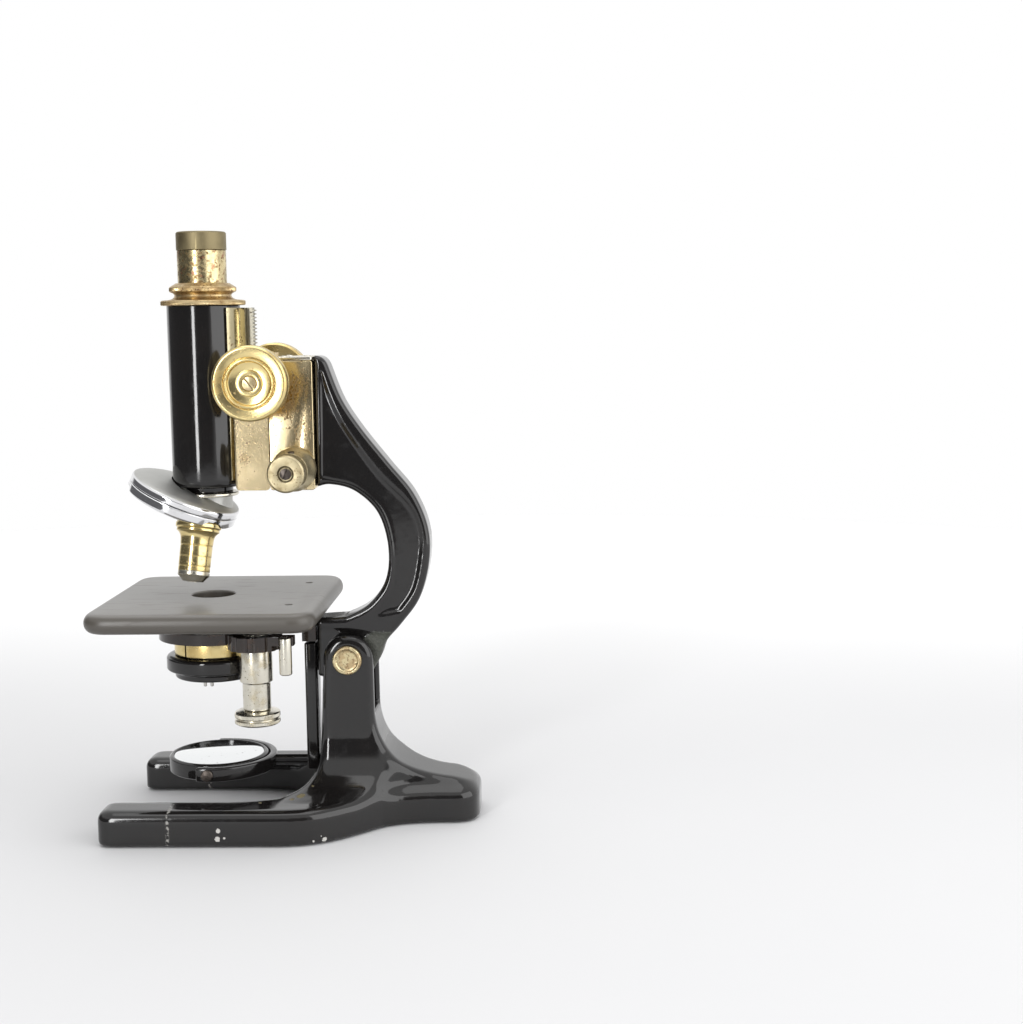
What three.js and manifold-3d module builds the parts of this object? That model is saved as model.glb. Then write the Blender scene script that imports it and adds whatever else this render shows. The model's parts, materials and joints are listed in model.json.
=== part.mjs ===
// A student's brass and enamel microscope: horseshoe foot, inclining limb, rack-and-pinion tube, wedge fine
// focus, triple nosepiece, vulcanite stage, swing-out condenser and gimbal mirror.
// Millimetres, +Z up. While it is built, X = 0 and Y = 0 is the optical axis and X grows towards the limb;
// the last lines move the whole group so that its origin is under the middle of the object.
import * as THREE from "three";
import { mergeVertices } from "three/addons/utils/BufferGeometryUtils.js";
import Module from "manifold-3d";

const wasm = await Module();
wasm.setup();

// ---- Driving dimensions --------------------------------------------------------------------------------

const GAP = 0.15; // clearance between pieces that touch
const RUN = 0.1; // radial clearance of a shaft in its bore

const TUBE_R = 19.05; // 1.5 inch body tube
const TUBE_LOW = 178.9;
const TUBE_TOP = 274.1;
const DRAW_R = 12.7; // 1 inch drawtube
const DRAW_TOP = 302.6;
const TOTAL_HEIGHT = 312.2;

const PIVOT_AT = [73.5, 0, 87.7]; // inclination joint
const PIVOT = { x: PIVOT_AT[0], z: PIVOT_AT[2] };
const BOLT_R = 4;
const LIMB_HALF = 10;
const CHEEK_IN = LIMB_HALF + 0.4;
const CHEEK_OUT = 17.5;
const CHEEK_R = 13.2;

const BLOCK_HALF = 14; // half width of both brass focusing blocks
const BLOCK_LOW = 177.6;
const COARSE_FRONT = 16.9;
const BLOCK_SPLIT = 35; // plane between the sliding block and the fixed one
const LIMB_FRONT = 58.6;
const COARSE_TOP = 249.5;
const FINE_TOP = 245.1;

const PINION_AT = [30.6, 0, 234.5];
const PINION = { x: PINION_AT[0], z: PINION_AT[2] };
const PINION_SHAFT_R = 3;
const MODULE = 0.6; // rack and pinion
const PINION_TEETH = 12;
const PINION_PITCH_R = (MODULE * PINION_TEETH) / 2;
const RACK_LOW = 184;
const RACK_TOP = 272.7;
const RACK_HALF = 3.2;
const COARSE_KNOB_R = 19.2;
const COARSE_KNOB_FACE = 42;

const FINE_AT = [47.9, 0, 188.7]; // fine focusing shaft
const FINE_SHAFT = { x: FINE_AT[0], z: FINE_AT[2] };
const FINE_SHAFT_R = 2;
const FINE_KNOB_R = 9.6;
const FINE_KNOB_FACE = 43;

const STAGE_TOP = 120.6;
const STAGE_THICK = 10.3;
const STAGE_X = [-55.3, 62.8];
const STAGE_HALF = 63.3;
const STAGE_CORNER = 14;
const STAGE_EDGE = 5; // bullnose radius
const CLIP_HOLE = { x: 46.3, y: 34, r: 2 };

// The nosepiece turns about an axis that leans away from the tube; all its objectives point at APEX.
const APEX_Z = 205.6;
const NOSE_LEAN = THREE.MathUtils.degToRad(23.5);
const NOSE_SWING = THREE.MathUtils.degToRad(6); // how far round the thread the nosepiece came to rest
const NOSE_REACH = 36; // apex to the seam between fixed and turning plates
const NOSE_R = 29.8;
const NOSE_TURN = THREE.MathUtils.degToRad(35); // the objective stands this far from its click stop

const POST_AT = [26.5, -25, 0]; // substage focusing screw
const POST = { x: POST_AT[0], y: POST_AT[1] };
const POST_R = 3;
const HANDLE_Y = -35;
const HANDLE_AT = [43.9, HANDLE_Y, 0]; // handle of the swing-out arm
const HANDLE_R = 3.3;
const TAIL_X = [49, 55.5];
const MIRROR_Z = 29.3;
const MIRROR_AT = [0, 0, MIRROR_Z];
const MIRROR_PIN_R = 1.6;
const MIRROR_R = 26.5;

const FOOT_HALF = 61.5;
const PRONG_IN = 38;
const PRONG_TIP = -52;
const HEEL_END = 142;
const HEEL_HALF = 23;
const FOOT_PAD = 1; // height of the cast pads
const FOOT_TOP = 18.5;

// ---- Geometry helpers ----------------------------------------------------------------------------------

const ROUND = 20; // sides of a large turned piece
const FINE = 16; // sides of a shaft or a small piece
const SMALL = 12; // sides of a lens or a screw head

const X = new THREE.Vector3(1, 0, 0);
const Y = new THREE.Vector3(0, 1, 0);
const Z = new THREE.Vector3(0, 0, 1);
const ORIGIN = [0, 0, 0]; // on the optical axis, at table height

// A closed three.js geometry as a manifold-3d solid, turned right side out.
function solid(geometry) {
  const bare = geometry.clone();
  bare.deleteAttribute("normal");
  bare.deleteAttribute("uv");
  const merged = mergeVertices(bare, 1e-4);
  const position = merged.getAttribute("position");
  const index = merged.index.array;
  const a = new THREE.Vector3();
  const b = new THREE.Vector3();
  const c = new THREE.Vector3();
  const kept = [];
  let volume = 0;
  for (let i = 0; i < index.length; i += 3) {
    const [p, q, r] = [index[i], index[i + 1], index[i + 2]];
    if (p === q || q === r || r === p) continue;
    kept.push(p, q, r);
    a.fromBufferAttribute(position, p);
    b.fromBufferAttribute(position, q);
    c.fromBufferAttribute(position, r);
    volume += a.dot(b.cross(c));
  }
  const triVerts = new Uint32Array(volume < 0 ? kept.reverse() : kept);
  return new wasm.Manifold(new wasm.Mesh({ numProp: 3, vertProperties: position.array, triVerts }));
}

// A profile of [radius, height] points turned about an axis through `at`.
function turned(profile, at = ORIGIN, axis = Z, sides = ROUND) {
  const points = profile.map(([r, h]) => new THREE.Vector2(r, h));
  const geometry = new THREE.LatheGeometry(points, sides);
  geometry.applyQuaternion(new THREE.Quaternion().setFromUnitVectors(Y, axis));
  return solid(geometry.translate(...at));
}

// A plain cylinder from height `low` to `high` along an axis through `at`.
function rod(r, low, high, at = ORIGIN, axis = Z, sides = FINE) {
  return turned([[0, low], [r, low], [r, high], [0, high]], at, axis, sides);
}

// A hollow cylinder.
function pipe(inner, outer, low, high, at = ORIGIN, axis = Z, sides = ROUND) {
  const loop = [[inner, low], [outer, low], [outer, high], [inner, high], [inner, low]];
  return turned(loop, at, axis, sides);
}

function box(x0, x1, y0, y1, z0, z1) {
  const geometry = new THREE.BoxGeometry(x1 - x0, y1 - y0, z1 - z0);
  return solid(geometry.translate((x0 + x1) / 2, (y0 + y1) / 2, (z0 + z1) / 2));
}

// An outline in the X-Z plane, given as a Shape, extruded from y0 to y1; `round` softens both rims.
function sideSlab(shape, y0, y1, round = 0, steps = 3, curveSegments = 5) {
  const geometry = new THREE.ExtrudeGeometry(shape, {
    depth: y1 - y0 - 2 * round,
    bevelEnabled: round > 0,
    bevelThickness: round,
    bevelSize: round,
    bevelOffset: -round,
    bevelSegments: steps,
    curveSegments,
  });
  return solid(geometry.rotateX(Math.PI / 2).translate(0, y1 - round, 0));
}

// An outline in the X-Y plane extruded from z0 to z1.
function planSlab(shape, z0, z1, round = 0, steps = 3, curveSegments = 5) {
  const geometry = new THREE.ExtrudeGeometry(shape, {
    depth: z1 - z0 - 2 * round,
    bevelEnabled: round > 0,
    bevelThickness: round,
    bevelSize: round,
    bevelOffset: -round,
    bevelSegments: steps,
    curveSegments,
  });
  return solid(geometry.translate(0, 0, z0 + round));
}

// An outline in the Y-Z plane extruded from x0 to x1.
function frontSlab(shape, x0, x1) {
  const options = { depth: x1 - x0, bevelEnabled: false, curveSegments: 5 };
  const geometry = new THREE.ExtrudeGeometry(shape, options);
  geometry.rotateX(Math.PI / 2).rotateZ(Math.PI / 2);
  return solid(geometry.translate(x0, 0, 0));
}

function rectangle(x0, x1, y0, y1, r) {
  const shape = new THREE.Shape();
  shape.moveTo(x0 + r, y0);
  shape.lineTo(x1 - r, y0);
  shape.absarc(x1 - r, y0 + r, r, -Math.PI / 2, 0);
  shape.lineTo(x1, y1 - r);
  shape.absarc(x1 - r, y1 - r, r, 0, Math.PI / 2);
  shape.lineTo(x0 + r, y1);
  shape.absarc(x0 + r, y1 - r, r, Math.PI / 2, Math.PI);
  shape.lineTo(x0, y0 + r);
  shape.absarc(x0 + r, y0 + r, r, Math.PI, 1.5 * Math.PI);
  return shape;
}

const points = (list) => list.map(([x, y]) => new THREE.Vector2(x, y));
const join = (...solids) => solids.reduce((all, one) => all.add(one));

// ---- Materials and the group ---------------------------------------------------------------------------

const finish = (color, roughness, metalness) =>
  new THREE.MeshStandardMaterial({ color, roughness, metalness });
const ENAMEL = finish(0x0b0b0d, 0.2, 0.1);
const GOLD_BRASS = finish(0xd9a441, 0.2, 1);
const DULL_BRASS = finish(0xb59a5b, 0.4, 1);
const CHROME = finish(0xd8d8da, 0.12, 1);
const NICKEL = finish(0xc9c3ac, 0.28, 1);
const STEEL = finish(0x77746c, 0.4, 1);
const VULCANITE = finish(0x4b4641, 0.55, 0);
const GLASS = finish(0xdfe8ea, 0.05, 0);
const SILVERED = finish(0xeeeeee, 0.03, 1);

const microscope = new THREE.Group();

// Adds one solid to the group as a named mesh.
function add(name, made, material, group = microscope) {
  const { vertProperties, triVerts } = made.getMesh();
  const geometry = new THREE.BufferGeometry();
  geometry.setAttribute("position", new THREE.BufferAttribute(vertProperties, 3));
  geometry.setIndex(new THREE.BufferAttribute(triVerts, 1));
  geometry.computeVertexNormals();
  const mesh = new THREE.Mesh(geometry, material);
  mesh.name = name;
  group.add(mesh);
  return mesh;
}

// ---- Foot ----------------------------------------------------------------------------------------------

// The near half of the horseshoe's inner edge, from a prong to its round back, moved outwards by `spread`.
function insideEdge(path, spread) {
  path.lineTo(12, -PRONG_IN - spread);
  path.bezierCurveTo(38, -36 - spread, 57, -26 - spread, 57.5 + Math.min(spread, 0.3), 0);
}

// A plan given by its near half, whose ends lie on the middle plane.
function mirrored(half, divisions) {
  const near = half.getPoints(divisions);
  const far = near.slice(1, -1).reverse().map((p) => new THREE.Vector2(p.x, -p.y));
  return new THREE.Shape([...near, ...far]);
}

// Half of the foot's plan runs from the heel round the outside of a prong to the middle of the horseshoe.
function footPlan() {
  const half = new THREE.Path();
  half.moveTo(HEEL_END, 0);
  half.lineTo(HEEL_END, -8);
  half.quadraticCurveTo(HEEL_END, -HEEL_HALF, HEEL_END - 14, -HEEL_HALF);
  half.quadraticCurveTo(105, -HEEL_HALF + 1, 92, -31);
  half.quadraticCurveTo(72, -53, 62, -57);
  half.quadraticCurveTo(53, -FOOT_HALF, 40, -FOOT_HALF);
  half.lineTo(PRONG_TIP + 9, -FOOT_HALF);
  half.quadraticCurveTo(PRONG_TIP, -FOOT_HALF, PRONG_TIP, -FOOT_HALF + 9);
  half.lineTo(PRONG_TIP, -PRONG_IN - 7);
  half.quadraticCurveTo(PRONG_TIP, -PRONG_IN, PRONG_TIP + 7, -PRONG_IN);
  insideEdge(half, 0);
  return mirrored(half, 3);
}

// The space inside the horseshoe, a little wider than the foot's own edge, so the pillar stays clear of it.
function horseshoeInside() {
  const half = new THREE.Path();
  half.moveTo(-80, 0);
  half.lineTo(-80, -PRONG_IN - 2);
  insideEdge(half, 2);
  return mirrored(half, 6);
}

// The side view of the pillar and the ridge that runs down to the heel.
function pillarSide() {
  const shape = new THREE.Shape();
  shape.moveTo(PIVOT.x - CHEEK_R, PIVOT.z);
  shape.lineTo(57.6, 36);
  shape.quadraticCurveTo(57, 22, 40, 17);
  shape.lineTo(40, 6);
  shape.lineTo(HEEL_END - 1, 6);
  shape.quadraticCurveTo(HEEL_END - 0.5, 20, 128, 23);
  shape.bezierCurveTo(104, 25.5, 88.5, 36, 86.9, 58);
  shape.lineTo(PIVOT.x + CHEEK_R, PIVOT.z);
  shape.absarc(PIVOT.x, PIVOT.z, CHEEK_R, 0, Math.PI);
  return shape;
}

// The pillar from the front: straight cheeks above, spreading into the prongs below.
function pillarFront() {
  const shape = new THREE.Shape();
  const width = FOOT_HALF - 10;
  shape.moveTo(-CHEEK_OUT, PIVOT.z + CHEEK_R + 1);
  shape.lineTo(-CHEEK_OUT, 50);
  shape.bezierCurveTo(-CHEEK_OUT - 0.5, 30, -28, 20, -width, 14);
  shape.lineTo(-width, 5);
  shape.lineTo(width, 5);
  shape.lineTo(width, 14);
  shape.bezierCurveTo(28, 20, CHEEK_OUT + 0.5, 30, CHEEK_OUT, 50);
  shape.lineTo(CHEEK_OUT, PIVOT.z + CHEEK_R + 1);
  return shape;
}

// Keeps the ridge narrow over the heel.
function ridgePlan() {
  const shape = new THREE.Shape();
  shape.moveTo(40, -45);
  shape.lineTo(60, -45);
  shape.quadraticCurveTo(84, -40, 92, -26);
  shape.quadraticCurveTo(100, -17, 122, -16);
  shape.lineTo(130, -16);
  shape.quadraticCurveTo(HEEL_END, -14, HEEL_END, 0);
  shape.quadraticCurveTo(HEEL_END, 14, 130, 16);
  shape.lineTo(122, 16);
  shape.quadraticCurveTo(100, 17, 92, 26);
  shape.quadraticCurveTo(84, 40, 60, 45);
  shape.lineTo(40, 45);
  return shape;
}

function footCasting() {
  const rim = 5;
  const base = planSlab(footPlan(), FOOT_PAD - 2 * rim, FOOT_TOP, rim, 2)
    .subtract(box(-80, 160, -80, 80, -20, FOOT_PAD));
  const pillar = sideSlab(pillarSide(), -60, 60)
    .intersect(frontSlab(pillarFront(), 30, 150))
    .intersect(planSlab(ridgePlan(), 0, 120))
    .subtract(planSlab(horseshoeInside(), 0, 40));
  let casting = base.add(pillar);
  for (const side of [-1, 1]) {
    const pad = rectangle(-49, -40, Math.min(side * 41, side * 58), Math.max(side * 41, side * 58), 3);
    casting = casting.add(planSlab(pad, 0, FOOT_PAD + 2));
  }
  casting = casting.add(planSlab(rectangle(127, 138.5, -18, 18, 5), 0, FOOT_PAD + 2));
  const slot = box(40, 110, -CHEEK_IN, CHEEK_IN, 58, 120);
  const bolt = rod(BOLT_R + 2 * GAP, -30, 30, PIVOT_AT, Y);
  return casting.subtract(slot).subtract(bolt);
}

add("foot_casting", footCasting(), ENAMEL);
add("inclination_bolt", rod(BOLT_R, -CHEEK_OUT, CHEEK_OUT, PIVOT_AT, Y, FINE), STEEL);
for (const [name, side] of [["left_pivot_cap", -1], ["right_pivot_cap", 1]]) {
  const profile = [[0, 0], [7.7, 0], [7.7, 2], [7, 2.8], [5.6, 2.8], [5.2, 2.3], [0, 2.3]];
  const outward = new THREE.Vector3(0, side, 0);
  add(name, turned(profile, [PIVOT.x, side * (CHEEK_OUT + GAP), PIVOT.z], outward, FINE), DULL_BRASS);
}

// ---- Limb ----------------------------------------------------------------------------------------------

const LIMB_BACK = points([
  [66.5, 240.7], [72.7, 224.6], [82.4, 209.3], [96.7, 190.9], [109.4, 174.8], [116.7, 156.5],
  [117, 138], [111.5, 118.7], [101.4, 104.9], [93.4, 95.7], [90, 87], [84, 77],
]);
const LIMB_THROAT = points([
  [58.6, 178.5], [65.7, 179.8], [78.4, 176.2], [90.3, 164.5], [95.3, 146], [93.4, 128.4], [84, 115.6],
  [72, 109.3],
]);
const LIMB_FLAT_BACK = points([
  [62.4, 240], [66.1, 227.6], [73.7, 210.6], [91, 185.8], [106.3, 170.1], [112.2, 158.5], [113.2, 146],
  [109.2, 125], [101, 112.5],
]);
const LIMB_FLAT_THROAT = points([
  [90, 110.5], [96.5, 124], [98.2, 145], [93, 166], [79.5, 179], [67, 182.6],
]);

function limbCasting() {
  const shape = new THREE.Shape();
  shape.moveTo(LIMB_FRONT, 247.4);
  shape.quadraticCurveTo(64.5, 248, 66.5, 240.7);
  shape.splineThru(LIMB_BACK.slice(1));
  shape.quadraticCurveTo(78, 72.6, 70, 73);
  shape.lineTo(56.2, 77);
  shape.lineTo(56.2, 108.3);
  shape.lineTo(72, 109.3);
  shape.splineThru([...LIMB_THROAT].reverse().slice(1));
  let casting = sideSlab(shape, -LIMB_HALF, LIMB_HALF, 0, 0, 2);
  const flat = new THREE.Shape();
  flat.moveTo(62.4, 240);
  flat.splineThru(LIMB_FLAT_BACK.slice(1));
  flat.lineTo(90, 110.5);
  flat.splineThru(LIMB_FLAT_THROAT.slice(1));
  flat.lineTo(61.4, 184);
  for (const side of [-1, 1]) {
    const deep = side * (LIMB_HALF - 1);
    const out = side * (LIMB_HALF + 1);
    casting = casting.subtract(sideSlab(flat, Math.min(deep, out), Math.max(deep, out), 0, 0, 2));
  }
  return casting
    .subtract(rod(BOLT_R + RUN, -20, 20, PIVOT_AT, Y, FINE))
    .subtract(box(50, 59, -7.3, 7.3, 60, 95));
}
add("limb_casting", limbCasting(), ENAMEL);

// ---- Fine focusing block on the limb -------------------------------------------------------------------

const TONGUE_HALF = 5.7;
const TONGUE_BACK = 38;
const POCKET = { x: [41.5, 54.5], y: 10.8, z: [182, 210] }; // holds the wedge and its screw
const WEDGE_SLOPE = 0.3;
const WEDGE_HALF = 6.5;
const WEDGE_RISE = 7; // from the screw to the middle of the sloping face
const FOLLOWER = { x: 43, r: 1.5, top: 205.8 };

function focusBlock() {
  const side = rectangle(BLOCK_SPLIT + GAP, LIMB_FRONT - GAP, BLOCK_LOW, FINE_TOP, 1);
  return sideSlab(side, -BLOCK_HALF, BLOCK_HALF)
    .subtract(box(BLOCK_SPLIT - 1, TONGUE_BACK + 0.3, -TONGUE_HALF - 0.2, TONGUE_HALF + 0.2, 170, 250))
    .subtract(box(BLOCK_SPLIT - 1, 37.6, -20, 20, PINION.z - 8.2, PINION.z + 8.2))
    .subtract(box(...POCKET.x, -POCKET.y, POCKET.y, ...POCKET.z))
    .subtract(box(37, 46, -2.6, 2.6, 195, 216))
    .subtract(rod(FINE_SHAFT_R + RUN, -20, 20, FINE_AT, Y, FINE));
}
add("focus_block", focusBlock(), DULL_BRASS);

const capPlan = rectangle(TONGUE_BACK + 0.6, LIMB_FRONT - GAP, -BLOCK_HALF, BLOCK_HALF, 1.5);
add("focus_block_cap", planSlab(capPlan, FINE_TOP + GAP, FINE_TOP + 2), NICKEL);

// Heights run outwards from the face of the block.
const fineBore = FINE_SHAFT_R + RUN;
const fineFace = FINE_KNOB_FACE - BLOCK_HALF - GAP;
const bossProfile = [
  [fineBore, 0], [11.7, 0], [11.5, 3], [9.2, 8], [7.8, 15], [fineBore, 15], [fineBore, 0],
];
const fineKnobProfile = [
  [fineBore, 15.4], [8.8, 15.4], [FINE_KNOB_R, 16.2], [FINE_KNOB_R, fineFace - 0.8], [8.9, fineFace],
  [4.4, fineFace], [3.4, fineFace - 1.2], [fineBore, fineFace - 1.2], [fineBore, 15.4],
];
for (const [name, side] of [["near", -1], ["far", 1]]) {
  const outward = new THREE.Vector3(0, side, 0);
  const at = [FINE_SHAFT.x, side * (BLOCK_HALF + GAP), FINE_SHAFT.z];
  add(`fine_bearing_${name}`, turned(bossProfile, at, outward), DULL_BRASS);
  add(`fine_knob_${name}`, turned(fineKnobProfile, at, outward), DULL_BRASS);
}
add("fine_shaft", rod(FINE_SHAFT_R, -41, 41, FINE_AT, Y, FINE), STEEL);

// The nut on the threaded shaft is a wedge: turning the shaft drives it along Y and lifts the follower.
function wedgeNut() {
  const low = FINE_SHAFT.z - 4.5;
  const middle = FINE_SHAFT.z + WEDGE_RISE;
  const lift = WEDGE_HALF * WEDGE_SLOPE;
  const shape = new THREE.Shape();
  shape.moveTo(-WEDGE_HALF, low);
  shape.lineTo(WEDGE_HALF, low);
  shape.lineTo(WEDGE_HALF, middle + lift);
  shape.lineTo(-WEDGE_HALF, middle - lift);
  const bore = rod(FINE_SHAFT_R + RUN, -20, 20, FINE_AT, Y, FINE);
  return frontSlab(shape, POCKET.x[0] + 1, POCKET.x[1] - 1).subtract(bore);
}
add("fine_wedge", wedgeNut(), STEEL);

// ---- Coarse focusing block -----------------------------------------------------------------------------

const DOVETAIL = { neck: 5, flare: 7.6, front: 20, back: 23.2 };

function dovetail(spread, x0, x1) {
  const { neck, flare, back, front } = DOVETAIL;
  const shape = new THREE.Shape();
  shape.moveTo(x0, -neck - spread);
  shape.lineTo(front, -neck - spread);
  shape.lineTo(back + spread, -flare - spread);
  shape.lineTo(x1, -flare - spread);
  shape.lineTo(x1, flare + spread);
  shape.lineTo(back + spread, flare + spread);
  shape.lineTo(front, neck + spread);
  shape.lineTo(x0, neck + spread);
  return shape;
}

function coarseBlock() {
  const side = rectangle(COARSE_FRONT, BLOCK_SPLIT - GAP, BLOCK_LOW, COARSE_TOP, 2.5);
  const bearing = rod(5.6, -BLOCK_HALF, BLOCK_HALF, PINION_AT, Y, ROUND);
  const tongueLow = BLOCK_LOW + 3;
  const tongue = box(BLOCK_SPLIT - 2, TONGUE_BACK, -TONGUE_HALF, TONGUE_HALF, tongueLow, COARSE_TOP - 0.5);
  const arm = box(TONGUE_BACK - 2, 45.4, -2.2, 2.2, 198.5, 212);
  return join(sideSlab(side, -BLOCK_HALF, BLOCK_HALF), bearing, tongue, arm)
    .subtract(rod(20.9, 150, 270, ORIGIN, Z, ROUND))
    .subtract(planSlab(dovetail(0.2, 10, DOVETAIL.back + 0.6), 150, 270))
    .subtract(box(18, 28.2, -RACK_HALF - 0.4, RACK_HALF + 0.4, 150, 270))
    .subtract(rod(4.6, -RACK_HALF - 0.5, RACK_HALF + 0.5, PINION_AT, Y))
    .subtract(rod(PINION_SHAFT_R + RUN, -30, 30, PINION_AT, Y, FINE))
    .subtract(rod(FOLLOWER.r + RUN, 190, FOLLOWER.top + 0.2, [FOLLOWER.x, 0, 0], Z, FINE));
}
add("coarse_block", coarseBlock(), DULL_BRASS);

// The follower hangs from the block's arm and rests on the sloping face of the wedge.
const followerLow = FINE_SHAFT.z + WEDGE_RISE + FOLLOWER.r * WEDGE_SLOPE + 0.1;
add("fine_follower", rod(FOLLOWER.r, followerLow, FOLLOWER.top, [FOLLOWER.x, 0, 0], Z, FINE), STEEL);

function pinionShaft() {
  const outline = [];
  const step = (2 * Math.PI) / PINION_TEETH;
  const root = PINION_PITCH_R - 1.1 * MODULE;
  const tip = PINION_PITCH_R + 0.7 * MODULE;
  for (let tooth = 0; tooth < PINION_TEETH; tooth++) {
    // A tooth points along -X, into a gap of the rack.
    const middle = Math.PI + tooth * step;
    for (const [r, offset] of [[root, -0.3], [tip, -0.1], [tip, 0.1], [root, 0.3]]) {
      const angle = middle + offset * step;
      outline.push(new THREE.Vector2(PINION.x + r * Math.cos(angle), PINION.z + r * Math.sin(angle)));
    }
  }
  const teeth = sideSlab(new THREE.Shape(outline), -RACK_HALF, RACK_HALF);
  return teeth.add(rod(PINION_SHAFT_R, -39.5, 39.5, PINION_AT, Y, FINE));
}
add("pinion_shaft", pinionShaft(), STEEL);

// Heights run outwards from the middle plane.
function coarseKnobProfile() {
  const face = COARSE_KNOB_FACE;
  const back = face - 9.5;
  const bore = PINION_SHAFT_R + RUN;
  return [
    [bore, BLOCK_HALF + 0.4], [7, BLOCK_HALF + 0.4], [8, back - 2], [COARSE_KNOB_R, back],
    [COARSE_KNOB_R, face - 1.6], [COARSE_KNOB_R - 1.6, face], [15.4, face], [14.6, face - 1.2],
    [13.8, face - 0.4], [11.6, face - 0.4], [10.6, face - 2.4], [6.8, face - 2.4],
    [6.5, face - 0.6], [4.2, face - 0.6], [4.2, face - 2], [bore, face - 2], [bore, BLOCK_HALF + 0.4],
  ];
}

function slottedScrew(side) {
  const { x, z } = PINION;
  const outer = side * COARSE_KNOB_FACE;
  const profile = [[0, 0], [3.7, 0], [3.7, 1.2], [0, 1.8]];
  const head = turned(profile, [x, outer - side * 1.9, z], new THREE.Vector3(0, side, 0), SMALL);
  const slot = box(x - 5, x + 5, outer - 0.5, outer + 0.5, z - 0.4, z + 0.4);
  return head.subtract(slot);
}

for (const [name, side] of [["near", -1], ["far", 1]]) {
  const outward = new THREE.Vector3(0, side, 0);
  add(`coarse_knob_${name}`, turned(coarseKnobProfile(), PINION_AT, outward), GOLD_BRASS);
  add(`coarse_knob_screw_${name}`, slottedScrew(side), GOLD_BRASS);
}

// ---- Body tube and what slides with it -----------------------------------------------------------------

const TUBE_BORE = 17.9;
const tubeProfile = [
  [11.4, 176.1], [12.4, 176.1], [12.4, TUBE_LOW], [16, TUBE_LOW], [18.2, TUBE_LOW + 0.9],
  [TUBE_R, TUBE_LOW + 3],
  [TUBE_R, TUBE_TOP - GAP], [TUBE_BORE, TUBE_TOP - GAP], [TUBE_BORE, 185], [11.4, 182], [11.4, 176.1],
];
add("body_tube", turned(tubeProfile, ORIGIN, Z, ROUND), ENAMEL);

function tubeSlide() {
  const wrap = THREE.MathUtils.degToRad(43);
  const inner = TUBE_R + GAP;
  const outer = 20.4;
  const shape = new THREE.Shape();
  shape.absarc(0, 0, outer, -wrap, wrap);
  shape.absarc(0, 0, inner, wrap, -wrap, true);
  const saddle = planSlab(shape, RACK_LOW - 1, RACK_TOP);
  const bar = planSlab(dovetail(0, TUBE_R + 0.4, DOVETAIL.back), RACK_LOW - 1, RACK_TOP);
  return saddle.add(bar);
}
add("tube_slide", tubeSlide(), DULL_BRASS);

function rack() {
  const pitch = Math.PI * MODULE;
  const pitchLine = PINION.x - PINION_PITCH_R;
  const tip = pitchLine + 0.7 * MODULE;
  const root = pitchLine - 1.1 * MODULE;
  const shape = new THREE.Shape();
  shape.moveTo(DOVETAIL.back + GAP, RACK_TOP);
  shape.lineTo(DOVETAIL.back + GAP, RACK_LOW);
  shape.lineTo(root, RACK_LOW);
  const first = Math.ceil((RACK_LOW - PINION.z) / pitch) + 0.5;
  for (let tooth = first; PINION.z + (tooth + 0.5) * pitch < RACK_TOP; tooth++) {
    const z = PINION.z + tooth * pitch;
    shape.lineTo(root, z - 0.3 * pitch);
    shape.lineTo(tip, z - 0.1 * pitch);
    shape.lineTo(tip, z + 0.1 * pitch);
    shape.lineTo(root, z + 0.3 * pitch);
  }
  shape.lineTo(root, RACK_TOP);
  return sideSlab(shape, -RACK_HALF, RACK_HALF);
}
add("rack", rack(), STEEL);

// The collar caps the tube and guides the drawtube.
const collarBore = DRAW_R + 0.2;
const collarProfile = [
  [collarBore, 256], [15, 256], [15, 262], [TUBE_BORE - 0.3, 262], [TUBE_BORE - 0.3, TUBE_TOP],
  [22, TUBE_TOP], [22, 276.7], [17, 277], [14.6, 279.2], [17.4, 281.1], [17.4, 283.7],
  [13.6, 285.7], [collarBore, 285.7], [collarBore, 256],
];
add("top_collar", turned(collarProfile), GOLD_BRASS);
add("drawtube", pipe(DRAW_R - 0.9, DRAW_R, 203, DRAW_TOP), DULL_BRASS);

// ---- Eyepiece ------------------------------------------------------------------------------------------

const barrelR = DRAW_R - 1.15;
const barrelBore = barrelR - 1.2;
const eyepieceProfile = [
  [barrelBore, 266], [barrelR, 266], [barrelR, DRAW_TOP + GAP], [13, DRAW_TOP + GAP],
  [13, TOTAL_HEIGHT - 0.5], [12.5, TOTAL_HEIGHT], [11.6, TOTAL_HEIGHT], [4.5, TOTAL_HEIGHT - 2.6],
  [4.5, 308.2], [5.4, 308.2], [5.4, 303], [barrelBore, 303], [barrelBore, 266],
];
add("eyepiece_body", turned(eyepieceProfile), DULL_BRASS);
const eyeLensProfile = [[0, 304], [5.2, 304], [5.2, 305.8], [3, 307], [0, 307.4]];
const fieldLensProfile = [[0, 267], [10, 267], [10, 269], [6, 270.6], [0, 271.4]];
add("eye_lens", turned(eyeLensProfile, ORIGIN, Z, SMALL), GLASS);
add("field_lens", turned(fieldLensProfile, ORIGIN, Z, SMALL), GLASS);
add("field_stop", pipe(7.5, 10, 285, 286, ORIGIN, Z, SMALL), STEEL);

// ---- Nosepiece -----------------------------------------------------------------------------------------

const ringProfile = [
  [11.4, 174], [14.9, 174], [15.3, 174.5], [15.3, 175.6], [14.9, 176], [11.4, 176], [11.4, 174],
];
add("nosepiece_ring", turned(ringProfile), NICKEL);

const apex = new THREE.Vector3(0, 0, APEX_Z);
// Unit vectors of the nosepiece: down its axis, across towards the optical axis, and the third to match.
const noseDown = new THREE.Vector3(
  -Math.sin(NOSE_LEAN) * Math.cos(NOSE_SWING),
  Math.sin(NOSE_LEAN) * Math.sin(NOSE_SWING),
  -Math.cos(NOSE_LEAN),
);
const noseAcross = new THREE.Vector3(0, 0, -1).addScaledVector(noseDown, noseDown.z).normalize();
const noseSide = new THREE.Vector3().crossVectors(noseDown, noseAcross);
const seam = apex.clone().addScaledVector(noseDown, NOSE_REACH);

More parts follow.
